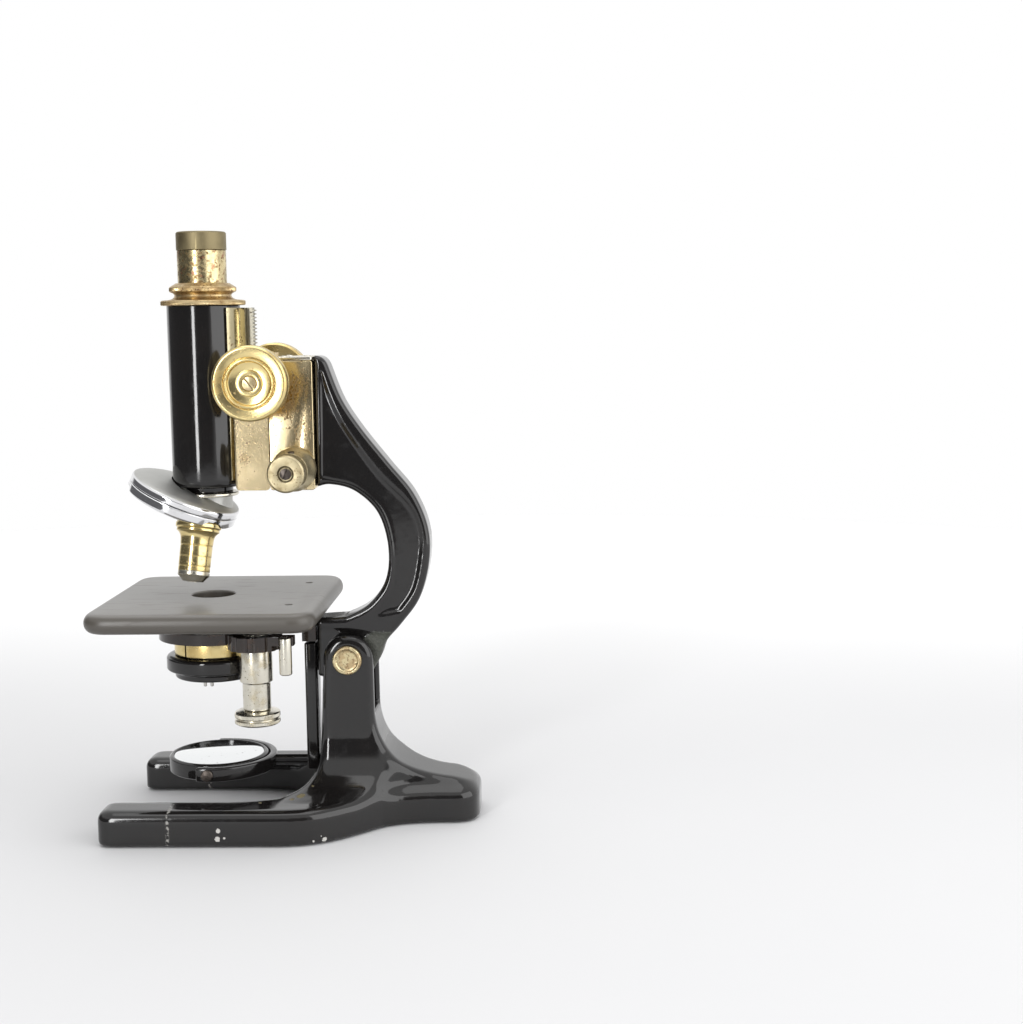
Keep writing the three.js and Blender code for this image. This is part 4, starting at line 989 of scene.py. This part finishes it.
def build_knobs():
    face = Node("coarse_knob_far").y1
    back = face - 9.5
    rim = Node("coarse_knob_far").r
    coarse_knob = [
        (PINION_BORE, BLOCK_HALF + 0.4), (7, BLOCK_HALF + 0.4), (7.6, back - 6), (9.5, back - 1.5),
        (rim - 1, back),
        (rim, back + 0.9), (rim, face - 1.3), (rim - 1.0, face, 0.8), (13.4, face - 0.5),
        (13.1, face - 1.5),
        (12.7, face - 1.5), (12.5, face - 0.3, 0.5), (11.4, face - 0.3, 0.5), (10.8, face - 1.9),
        (6.7, face - 2.7),
        (6.4, face - 1.4), (4.0, face - 1.4), (3.8, face - 2), (PINION_BORE, face - 2),
        (PINION_BORE, BLOCK_HALF + 0.4),
    ]
    fine_rim = Node("fine_knob_far").r
    fine_face = Node("fine_knob_far").y1 - BLOCK_HALF - GAP
    boss = [
        (FINE_BORE, 0), (11.7, 0, 0.5), (11.6, 3.2, 0.8), (9.6, 7.5, 2), (8.3, 12, 1), (8.1, 15),
        (FINE_BORE, 15),
        (FINE_BORE, 0),
    ]
    fine_knob = [
        (FINE_BORE, 15.4), (8.6, 15.4), (fine_rim, 16.4), (fine_rim, fine_face - 1.0), (8.7, fine_face),
        (4.3, fine_face), (3.5, fine_face - 1.2), (FINE_BORE, fine_face - 1.2), (FINE_BORE, 15.4),
    ]
    for side, outward in SIDES.items():
        turned(
            f"coarse_knob_{side}", coarse_knob, PINION, outward, "pinion", GOLD, "gold_brass", radius=0.3,
            milled=([(back + 1.1, face - 1.5)], rim - 0.5, 150, 0.32),
        )
        at = PINION + outward * (face - 2.1)
        slotted_screw(
            f"coarse_knob_screw_{side}_fine", 3.6, at, outward, "pinion", CAP_BRASS, 0.3,
            [f"coarse_knob_screw_{side}"], -50,
        )
        at = FINE + outward * (BLOCK_HALF + GAP)
        turned(f"fine_bearing_{side}", boss, at, outward, "limb", DULL, "dull_brass", radius=0.4)
        turned(
            f"fine_knob_{side}", fine_knob, at, outward, "fine_spindle", DULL, "dull_brass", radius=0.25,
            milled=([(16.6, fine_face - 1.1)], fine_rim - 0.4, 84, 0.3),
        )
        at = FINE + outward * (BLOCK_HALF + GAP + fine_face - 1.1)
        slotted_screw(
            f"fine_knob_screw_{side}", 2.9, at, outward, "fine_spindle", DARK_STEEL, 0.2, (), 70,
        )
        on_slope = FINE + outward * (BLOCK_HALF + 8.6) + UP * 9.1
        slope = (UP * 0.96 + outward * 0.28).normalized()
        slotted_screw(f"bearing_screw_{side}", 1.7, on_slope, slope, "limb", DARK_STEEL, 0.15)
    shaft = [(0, -41), (2, -41), (2, 41), (0, 41)]
    turned("fine_shaft", shaft, FINE, FAR, "fine_spindle", STEEL, "steel", sides=40)


# ---- Body tube -----------------------------------------------------------------------------------

BORE = 17.9
DRAW = Node("drawtube")


def build_tube():
    top = TUBE.z1
    low = TUBE.z0
    body = [
        (11.4, low), (12.4, low), (12.4, low + 2.8), (15.6, low + 2.8), (17.9, low + 3.5, 1.2),
        (TUBE.r, low + 6.0, 1.6),
        (TUBE.r, top), (BORE, top), (BORE, 185), (11.4, 182), (11.4, low),
    ]
    turned("body_tube", body, AXIS, UP, "tube", ENAMEL, "black_enamel", sides=160, radius=0.35)

    wrap = 43
    inner, outer = TUBE.r + GAP, 20.4
    saddle = arc(outer, -wrap, wrap, 24) + arc(inner, wrap, -wrap, 24)
    z0, z1 = Node("tube_slide").z0, Node("tube_slide").z1
    mesh = as_mesh("tube_slide", prism(saddle, z0, z1))
    mesh = cut(mesh, [prism(dovetail(0, TUBE.r + 0.4, DOVETAIL["back"]), z0, z1)], "UNION")
    stands_for("tube_slide", bevelled(mesh, 0.3), "tube", SLIDE_BRASS)

    collar_low = Node("top_collar").z0
    collar = [
        (12.9, collar_low), (15, collar_low), (15, 262), (BORE - 0.3, 262), (BORE - 0.3, top + GAP),
        (21.6, top + GAP), (22, top + 0.5), (22, 276.3), (21.3, 276.8), (17.3, 277.1, 0.8),
        (15.3, 278.0, 0.8),
        (14.6, 279.4, 0.7), (15.4, 280.5, 0.6), (17.0, 281.1), (17.4, 281.5), (17.4, 283.3), (17.0, 283.8),
        (14.6, 285.2, 0.5), (13.9, 285.7), (12.9, 285.7), (12.9, collar_low),
    ]
    turned(
        "top_collar", collar, AXIS, UP, "tube", COLLAR_GOLD, "gold_brass", radius=0.2,
        milled=([(top + 0.55, 276.2), (281.6, 283.2)], 17, 170, 0.22),
    )
    draw = [
        (DRAW.r - 0.9, DRAW.z0), (DRAW.r, DRAW.z0), (DRAW.r, DRAW.z1 - 0.2), (DRAW.r - 0.25, DRAW.z1),
        (DRAW.r - 0.9, DRAW.z1), (DRAW.r - 0.9, DRAW.z0),
    ]
    turned("drawtube", draw, AXIS, UP, "drawtube_slide", DRAW_BRASS, "spotted_brass", sides=128, radius=0)


def build_eyepiece():
    node = Node("eyepiece_body")
    head_low = DRAW.z1 + GAP
    barrel = DRAW.r - 1.15
    bore = barrel - 1.2
    top = node.z1
    body = [
        (bore, node.z0), (barrel, node.z0), (barrel, head_low), (node.r, head_low),
        (node.r, top - 0.7), (node.r - 0.6, top), (11.2, top), (9.5, top - 0.9, 1),
        (4.8, top - 2.6, 0.4), (4.5, 308.2),
        (5.4, 308.2), (5.4, 303), (bore, 303), (bore, node.z0),
    ]
    turned("eyepiece_body", body, AXIS, UP, "eyepiece", HEAD_BRASS, "spotted_brass", sides=128)
    eye_lens = [(0, 304), (5.2, 304), (5.2, 305.8), (4.0, 306.6), (2.6, 307.1), (1.3, 307.35), (0, 307.4)]
    lens("eye_lens", eye_lens, AXIS, UP, "eyepiece")
    field_lens = [(0, 267), (10, 267), (10, 269), (8, 270.2), (5.4, 270.9), (2.7, 271.3), (0, 271.4)]
    lens("field_lens", field_lens, AXIS, UP, "eyepiece")
    stop = [(7.5, 285), (10, 285), (10, 286), (7.5, 286), (7.5, 285)]
    turned("field_stop", stop, AXIS, UP, "eyepiece", STEEL, "steel", radius=0.1)


# ---- Nosepiece and objective ---------------------------------------------------------------------

NOSE_DOWN = direction_of("nosepiece_turn")
NOSE_LEAN = math.acos(-NOSE_DOWN.z)
NOSE_ACROSS = (NOSE_DOWN * NOSE_DOWN.z - UP).normalized()
NOSE_SIDE = NOSE_DOWN.cross(NOSE_ACROSS)
NOSE_TURN = math.radians(35)
NOSE_R = 29.8
SEAM = APEX + NOSE_DOWN * 36
SHOULDER = 46.8  # apex to the objective's shoulder


def hole_way(angle):
    """The direction of the objective hole that stands `angle` round from the click stop."""
    across = NOSE_ACROSS * math.cos(angle) + NOSE_SIDE * math.sin(angle)
    return NOSE_DOWN * math.cos(NOSE_LEAN) + across * math.sin(NOSE_LEAN)


def build_nosepiece():
    ring = Node("nosepiece_ring")
    outline = [
        (11.4, ring.z0), (14.9, ring.z0), (15.3, ring.z0 + 0.5), (15.3, ring.z1 - 0.4), (14.9, ring.z1),
        (11.4, ring.z1), (11.4, ring.z0),
    ]
    turned("nosepiece_ring", outline, AXIS, UP, "tube", NICKEL, "nickel", radius=0.15)

    dome = lathe([
        (0, -GAP), (NOSE_R - 0.4, -GAP), (NOSE_R, -0.5), (NOSE_R, -3.0), (NOSE_R - 0.7, -4.2, 0.6),
        (NOSE_R - 2.6, -5.2, 1), (22, -7.0, 5), (14, -8.4, 5), (0, -9),
    ], SEAM, NOSE_DOWN, 0.2, 160, steps=5)
    mesh = cut(as_mesh("nosepiece_plate", dome), [
        pin(15.8, 173.85, 240, sides=96),
        pin(TUBE.r + 0.6, TUBE.z0 + 2.2, 240, sides=96),
    ])
    boss = as_mesh("boss", pin(11.8, 150, 173.85, sides=96))
    boss = cut(boss, [lathe([(0, -GAP), (60, -GAP), (60, 60), (0, 60)], SEAM, NOSE_DOWN, 0, 64)])
    bm = bmesh.new()
    bm.from_mesh(boss)
    mesh = cut(mesh, [bm], "UNION")
    mesh = cut(mesh, [
        pin(8.5, 140, 200, sides=96),
        lathe([(0, -1), (2.7, -1), (2.7, 5), (0, 5)], SEAM, NOSE_DOWN, 0, 48),
    ])
    satin = frosted_chrome("frosted_chrome", SEAM, NOSE_DOWN, NOSE_R)
    stands_for("nosepiece_plate", bevelled(mesh, 0.25), "tube", satin)

    disc = lathe([
        (0, GAP), (NOSE_R - 0.5, GAP), (NOSE_R, 0.6), (NOSE_R, 4.2), (NOSE_R - 0.6, 5.0, 0.4), (27, 6.0, 1),
        (21, 8, 4), (12, 9.6, 4), (0, 10),
    ], SEAM, NOSE_DOWN, 0.2, 160, steps=5)
    tools = [lathe([(0, -20), (2.8, -20), (2.8, 20), (0, 20)], SEAM, NOSE_DOWN, 0, 48)]
    for hole in range(3):
        way = hole_way(NOSE_TURN + hole * 2 * math.pi / 3)
        tools.append(pin(9.5, 20, 60, APEX, way, 96))
        tools.append(pin(12.4, SHOULDER - GAP, 70, APEX, way, 96))
    mesh = bevelled(cut(as_mesh("nosepiece_disc", disc), tools), 0.25)
    stands_for("nosepiece_disc", mesh, "nosepiece", CHROME)

    screw = lathe([
        (0, -0.8), (2.6, -0.8), (2.6, 10.2), (5.6, 10.2), (5.6, 11.0), (5.0, 11.8), (0, 12.2),
    ], SEAM, NOSE_DOWN, 0.25, 64)
    blade = box(-7, 7, -0.5, 0.5, 11.3, 14)
    bmesh.ops.transform(blade, matrix=to_axis(NOSE_DOWN, SEAM), verts=blade.verts)
    mesh = cut(as_mesh("nosepiece_screw", screw), [blade])
    stands_for("nosepiece_screw", mesh, "tube", CHROME)


def from_shoulder(profile):
    """A profile whose heights run down from the objective's shoulder, in heights from the apex."""
    return [(r, SHOULDER + h, *rest) for r, h, *rest in profile]


def build_objective():
    way = hole_way(NOSE_TURN)
    end = 25.4
    body = from_shoulder([
        (7.6, -3), (9.2, -3), (9.2, 0), (11.5, 0), (11.9, 0.5), (11.9, 2.3), (11.3, 2.9), (11.0, 3.1),
        (11.2, 3.4),
        (11.2, 4.4), (10.0, 5.2, 0.8), (9.0, 6.8, 1.4), (8.6, 9, 1.0), (8.5, 11.6), (8.2, 11.8, 0.05),
        (8.2, 12.1, 0.05),
        (8.45, 12.3), (8.4, 17.4), (8.2, 17.55, 0.05), (8.2, 17.8, 0.05), (8.4, 17.95), (8.35, 22.6),
        (8.1, 22.75, 0.05), (8.1, 23.0, 0.05), (8.3, 23.15), (8.3, end), (6.6, end), (6.6, -0.2),
        (7.6, -1), (7.6, -3),
    ])
    turned("objective_body", body, APEX, way, "nosepiece", GOLD, "gold_brass", sides=128, radius=0.12)
    tip = from_shoulder([
        (4, end + GAP), (8.3, end + GAP), (8.3, 27.6), (7.4, 28.4, 0.4), (6.6, 29.3), (5.4, 30.8, 0.3),
        (3.2, 31),
        (3.2, 28.4), (4, end + GAP),
    ])
    turned("objective_nose", tip, APEX, way, "nosepiece", NICKEL, "nickel", radius=0.15)
    front = from_shoulder([(0, 29), (3, 29), (3, 30.4), (0, 30.6)])
    lens("objective_front_lens", front, APEX, way, "nosepiece", sides=48)
    back = from_shoulder([(0, 12), (3.2, 12.2), (6.3, 12.8), (6.3, 15.4), (3.2, 16.1), (0, 16.4)])
    lens("objective_back_lens", back, APEX, way, "nosepiece", sides=64)


# ---- Stage ---------------------------------------------------------------------------------------

TAIL = Node("tailpiece")


def bullnose(outline_at, low, high, edge, steps=7):
    """A slab with round edges; outline_at(inset) gives its outline moved inwards."""
    middle, half = (low + high) / 2, (high - low) / 2
    bm = bmesh.new()
    rings = []
    for i in range(-steps, steps + 1):
        angle = math.pi / 2 * i / steps
        inset = edge * (1 - math.cos(angle))
        z = middle + half * math.sin(angle)
        rings.append([bm.verts.new((x, y, z)) for x, y in outline_at(inset)])
    for a, b in zip(rings, rings[1:]):
        for i in range(len(a)):
            j = (i + 1) % len(a)
            bm.faces.new([a[i], a[j], b[j], b[i]])
    bm.faces.new(rings[0])
    bm.faces.new(rings[-1])
    return bm


def build_stage():
    corner = 14

    def outline(inset):
        return rectangle(
            STAGE.x0 + inset, STAGE.x1 - inset, STAGE.y0 + inset, STAGE.y1 - inset, corner - inset, 10
        )

    mesh = as_mesh("stage_plate", bullnose(outline, STAGE.z0, STAGE.z1, 4.6))
    tools = [
        lathe([(0, STAGE.z0 - 1), (11.6, STAGE.z0 - 1), (11.6, STAGE.z1 - 0.5), (12.6, STAGE.z1 + 0.5),
               (0, STAGE.z1 + 0.5)], radius=0, sides=128),
    ]
    for side in (-1, 1):
        at = (46.3, side * 34, 0)
        tools.append(lathe([(0, STAGE.z1 - 8), (2, STAGE.z1 - 8), (2, STAGE.z1 - 0.3), (2.6, STAGE.z1 + 0.3),
                            (0, STAGE.z1 + 0.3)], at, radius=0, sides=40))
    stands_for("stage_plate", cut(mesh, tools), "limb", VULCANITE)

    top = Node("stage_bracket").z1
    arms = arc(29, 30, 330, 72) + [(TAIL.x1 + 0.4, -14.5), (TAIL.x1 + 0.4, 14.5)]
    mesh = as_mesh("stage_bracket", prism(arms, 105, top))
    mesh = cut(mesh, [
        box(48.5, TAIL.x1 + 0.4, -9.5, 9.5, 96.2, 106),
        pin(7.5, 104.5, top, (POST.x, POST.y, 0), sides=64),
        box(POST.x - 7, POST.x + 7, -26, -10, 105, top),
    ], "UNION")
    mesh = cut(mesh, [
        pin(21, 100, 115, sides=128),
        pin(3.1, 90, top - 1.35, (POST.x, POST.y, 0), sides=48),
    ])
    stands_for("stage_bracket", bevelled(mesh, 0.7), "limb", ENAMEL)


# ---- Substage ------------------------------------------------------------------------------------

def build_substage():
    at = (POST.x, POST.y, 0)
    post = Node("substage_post")
    rod = [(0, post.z0), (2.6, post.z0), (3, post.z0 + 0.4), (3, post.z1), (0, post.z1)]
    turned("substage_post", rod, at, UP, "limb", STEEL, "steel", sides=40, radius=0.1)
    sleeve = [
        (3.2, 63.6), (6.9, 63.6), (7.3, 64), (7.3, 77.8), (7.7, 78.4, 0.2), (8.6, 78.7), (8.6, 95.9),
        (6.4, 95.9),
        (6.4, 103.8), (3.2, 103.8), (3.2, 63.6),
    ]
    turned("substage_sleeve", sleeve, at, UP, "substage", NICKEL, "nickel", radius=0.25)
    knob = [
        (0, 55.2), (3.6, 55.2), (4, 55.5), (4, 56), (10.9, 56), (11.9, 56.7), (11.9, 58.5),
        (11.2, 59.0), (11.2, 59.4),
        (11.9, 59.9), (11.9, 62.0), (11.2, 62.6), (7, 63.4), (0, 63.4),
    ]
    turned(
        "substage_knob", knob, at, UP, "substage_screw", NICKEL, "nickel", radius=0.2,
        milled=([(56.8, 58.4), (60.0, 61.9)], 11.6, 90, 0.25),
    )

    collar = as_mesh("condenser_arm", pin(14.2, 96.1, 103.6, at, sides=112))
    flutes = []
    count = 14
    for i in range(count):
        angle = 2 * math.pi * i / count
        centre = (POST.x + 16.2 * math.cos(angle), POST.y + 16.2 * math.sin(angle), 0)
        flutes.append(pin(2.9, 90, 110, centre, sides=24))
    mesh = cut(collar, flutes)
    across = Vector((-POST.y, POST.x)).normalized() * 7
    start = Vector((POST.x, POST.y))
    end = start * 0.62
    neck = [tuple(start + across), tuple(end + across), tuple(end - across), tuple(start - across)]
    handle = Node("arm_handle")
    hx, hy = handle.middle.x, handle.middle.y
    ear = rectangle(hx - 9.9, hx + 4.3, hy - 0.5, hy + 7, 1.5)
    mesh = cut(mesh, [
        pin(29.6, 98, 103.8, sides=160),
        prism(neck, 98, 103.6),
        prism(ear, 99, 103.6),
    ], "UNION")
    mesh = cut(mesh, [
        pin(6.6, 90, 110, at, sides=64),
        pin(18, 90, 110, sides=128),
        pin(handle.r + GAP, 90, 110, (hx, hy, 0), sides=64),
    ])
    stands_for("condenser_arm", bevelled(mesh, 0.5), "condenser", ENAMEL)
    low, high, r = handle.z0, handle.z1, handle.r
    grip = [(0, low), (r - 0.6, low), (r, low + 0.6), (r, high - 0.3), (r - 0.3, high), (0, high)]
    turned("arm_handle", grip, (hx, hy, 0), UP, "condenser", NICKEL, "nickel", radius=0.3, sides=64)

    sleeve = lathe([
        (16, 89.3), (21.2, 89.3), (21.6, 89.7), (21.6, 97.8), (17.7, 97.8), (17.7, 103.2),
        (17.2, 103.6), (12, 104.4),
        (12, 102.6), (16, 100.4), (16, 89.3),
    ], radius=0.2, sides=128)
    mesh = cut(as_mesh("condenser_sleeve", sleeve), [box(-12.5, -11.6, -25, -10, 88, 97.7)])
    stands_for("condenser_sleeve", mesh, "condenser", GOLD)
    top_lens = [(0, 99.8), (11.8, 99.8), (11.8, 101.2), (10, 102.3), (8, 103.2), (4, 104), (0, 104.2)]
    lens("condenser_top_lens", top_lens, AXIS, UP, "condenser")
    low_lens = [(0, 92), (15.8, 92), (15.8, 93), (12, 94.8), (8, 96.2), (4, 97.1), (0, 97.4)]
    lens("condenser_bottom_lens", low_lens, AXIS, UP, "condenser")

    housing = lathe([
        (15, 76.6), (20.9, 76.6), (21.6, 77.2), (21.9, 79.6), (23.2, 80.6), (25.2, 80.9), (26, 81.6),
        (26, 87.6),
        (25.2, 88.6), (23.5, 89), (15, 89), (15, 85.4), (19.2, 85.4), (19.2, 81.4), (15, 81.4), (15, 76.6),
    ], radius=0.5, sides=128)
    slot = prism(arc(18.9, -138, -42, 32) + arc(16.1, -42, -138, 32), 75, 82)
    mesh = cut(as_mesh("iris_housing", housing), [slot])
    stands_for("iris_housing", mesh, "condenser", ENAMEL)
    ring = as_mesh("iris_ring", lathe([(12, 82), (18.6, 82), (18.6, 83.2), (12, 83.2), (12, 82)], radius=0.1))
    lever_pin = [(0, 74), (0.6, 74), (0.9, 74.4), (0.9, 82.6), (0, 82.6)]
    pins = [lathe(lever_pin, (x, -17.4, 0), radius=0.1, sides=24) for x in (-2.3, 1.3)]
    stands_for("iris_ring", cut(ring, pins, "UNION"), "iris", STEEL)


# ---- Tailpiece and mirror ------------------------------------------------------------------------

PIVOT_BORE = 1.7
GLASS_R = 24


def build_mirror():
    plan = rectangle(TAIL.x0, TAIL.x1, TAIL.y0, TAIL.y1, 1.5)
    mesh = bevelled(as_mesh("tailpiece", prism(plan, TAIL.z0, TAIL.z1)), 0.8)
    mesh = cut(mesh, [pin(3.1, 40, 70, (0, 0, MIRROR.z), RIGHT)])
    stands_for("tailpiece", mesh, "limb", ENAMEL)

    frame_r = Node("mirror_frame").r
    inner = frame_r + 0.9
    outer = inner + 3.8
    reach = 102
    band = arc(outer, -reach, reach, 96) + arc(inner, reach, -reach, 96)
    mesh = as_mesh("mirror_fork", prism(band, MIRROR.z - 3.8, MIRROR.z + 3.8))
    stub = lathe(
        [(0, outer - 1.5), (3, outer - 1.5), (3, 56.6), (2.6, 57), (0, 57)], (0, 0, MIRROR.z), RIGHT, 0.1, 48
    )
    mesh = cut(bevelled(mesh, 1.0), [stub], "UNION")
    mesh = cut(mesh, [pin(PIVOT_BORE, -50, 50, (0, 0, MIRROR.z), FAR)])
    stands_for("mirror_fork", mesh, "fork", ENAMEL)

    at = (0, 0, MIRROR.z)
    for side, outward in SIDES.items():
        stem = lathe([
            (0, 24.6), (1.6, 24.6), (1.6, outer + 0.2), (3.2, outer + 0.2), (3.2, outer + 1.1),
            (2.7, outer + 1.5),
            (0, outer + 1.8),
        ], at, outward, 0.15, 48)
        blade = box(-4, 4, -0.35, 0.35, outer + 1.1, outer + 4)
        bmesh.ops.transform(blade, matrix=to_axis(outward, at), verts=blade.verts)
        mesh = cut(as_mesh("mirror_pivot", stem), [blade])
        stands_for(f"mirror_pivot_{side}", mesh, "fork", DARK_STEEL)

    rim = lathe([
        (22.6, -2), (24.2, -2), (24.2, -4.2), (24.6, -4.4), (25.4, -4.4), (frame_r, -3.6), (frame_r, 3.6),
        (25.4, 4.4), (24.6, 4.4), (24.2, 4.2), (24.2, 2), (22.6, 2), (22.6, -2),
    ], at, UP, 0.3, 128)
    mesh = cut(as_mesh("mirror_frame", rim), [pin(PIVOT_BORE, -50, 50, at, FAR)])
    stands_for("mirror_frame", mesh, "mirror", ENAMEL)
    plane = [(0, 2.4), (GLASS_R, 2.4), (GLASS_R, 3.8), (23.6, 4.0), (0, 4.0)]
    turned("plane_mirror", plane, at, UP, "mirror", SILVERED, "silvered_mirror", radius=0, sides=128)
    hollow = [
        (0, -2.4), (GLASS_R, -2.4), (GLASS_R, -4.2), (20, -3.85), (16, -3.6), (12, -3.42), (8, -3.3),
        (4, -3.22),
        (0, -3.2),
    ]
    turned("concave_mirror", hollow, at, UP, "mirror", SILVERED, "silvered_mirror", radius=0, sides=128)


# ---- CAD nodes that stay, hidden inside or already at their real shape ---------------------------

def keep_nodes():
    for name in ("fine_wedge", "fine_follower", "pinion_shaft", "rack"):
        node = frame["nodes"][name]
        node.data.materials.clear()
        node.data.materials.append(RACK_METAL if name == "rack" else STEEL)
        edge = node.modifiers.new("edge", "BEVEL")
        edge.width = 0.06 * MM
        edge.segments = 1


# ---- Floor, light and camera ---------------------------------------------------------------------

FLOOR_R = 1300
CAMERA_AT = (0.14337, -0.84219, 0.2668)
CAMERA_LENS = 56.25
CAMERA_SWING, CAMERA_PITCH, CAMERA_ROLL = (math.radians(angle) for angle in (1.78, 7.0, -0.74))
LIGHTS_AIM = (0, 0, 0.15)


def build_floor():
    """A pale round table that fades to white towards its far side: a painted brightening that blends it into
    the white backdrop.
    """
    paint = Paint("floor", Roughness=0.7)
    cloud = paint.noise(260, 4)
    # painted brightening: the far side of the floor is painted white to meet the white backdrop
    edge = paint.step(paint.height("Y"), 0.08 * FLOOR_R, 0.65 * FLOOR_R)
    near = paint.mix(cloud, (0.66, 0.66, 0.67), (0.69, 0.69, 0.695))
    paint.set("Base Color", paint.mix(edge, near, (0.97, 0.97, 0.97)))
    bm = lathe([(0, 0), (FLOOR_R, 0), (FLOOR_R, -20), (0, -20)], radius=0, sides=128)
    mesh = as_mesh("floor", bm)
    mesh.transform(Matrix.Scale(MM, 4))
    mesh.materials.append(paint.material)
    loose("floor", mesh)


def softbox(name, at, target, size, power):
    """A white light of `size` metres at `at`, facing `target`, in metres from the object's origin."""
    data = bpy.data.lights.new(name, "AREA")
    data.shape = "RECTANGLE"
    data.size, data.size_y = size
    data.energy = power
    lamp = loose(name, data)
    lamp.location = at
    lamp.rotation_euler = (Vector(target) - Vector(at)).to_track_quat("-Z", "Y").to_euler()


def build_light():
    """A white backdrop and room, whose reflection is dim low on the near left, and three lights."""
    world = bpy.data.worlds.new("room")
    bpy.context.scene.world = world
    world.use_nodes = True
    room = Nodes(world.node_tree)
    place = room.node("ShaderNodeTexCoord").outputs["Generated"]

    def band(along, low, high):
        """A smooth step along a direction of the room."""
        dot = room.node("ShaderNodeVectorMath", operation="DOT_PRODUCT")
        room.feed(dot.inputs[0], place)
        dot.inputs[1].default_value = Vector(along).normalized()
        return room.step(dot.outputs["Value"], low, high)

    white, gloom = (1.0, 1.0, 1.0), (0.13, 0.13, 0.135)
    low = room.mix(band((-0.743, -0.669, 0), 0.05, 0.30), white, gloom)
    colour = room.mix(band(UP, 0.35, 0.60), low, white)
    seen = room.node("ShaderNodeLightPath").outputs["Is Camera Ray"]
    backdrop = room.tree.nodes["Background"]
    room.feed(backdrop.inputs["Color"], room.mix(seen, colour, white))
    backdrop.inputs["Strength"].default_value = 1.0
    softbox("near_window", (-0.94, -2.30, 0.50), LIGHTS_AIM, (0.36, 2.0), 34)
    softbox("side_window", (1.35, -0.70, 0.60), LIGHTS_AIM, (1.7, 1.5), 13)
    softbox("ceiling", (0.0, -0.1, 1.8), LIGHTS_AIM, (1.3, 1.3), 6)


def build_camera():
    """The viewing angle of the photograph: level with the tube, a little above, from the near side."""
    data = bpy.data.cameras.new("camera")
    data.lens = CAMERA_LENS
    data.sensor_width = 36
    camera = loose("camera", data)
    swing, pitch, roll = CAMERA_SWING, CAMERA_PITCH, CAMERA_ROLL
    ahead = Vector((-math.sin(swing), math.cos(swing), 0))
    forward = ahead * math.cos(pitch) - UP * math.sin(pitch)
    level = Vector((math.cos(swing), math.sin(swing), 0))
    raised = level.cross(forward)
    across = level * math.cos(roll) + raised * math.sin(roll)
    upward = raised * math.cos(roll) - level * math.sin(roll)
    turn = Matrix((across, upward, -forward)).transposed().to_4x4()
    camera.matrix_world = Matrix.Translation(CAMERA_AT) @ turn
    bpy.context.scene.camera = camera


build_foot()
build_limb()
build_blocks()
build_knobs()
build_tube()
build_eyepiece()
build_nosepiece()
build_objective()
build_stage()
build_substage()
build_mirror()
keep_nodes()
build_floor()
build_light()
build_camera()
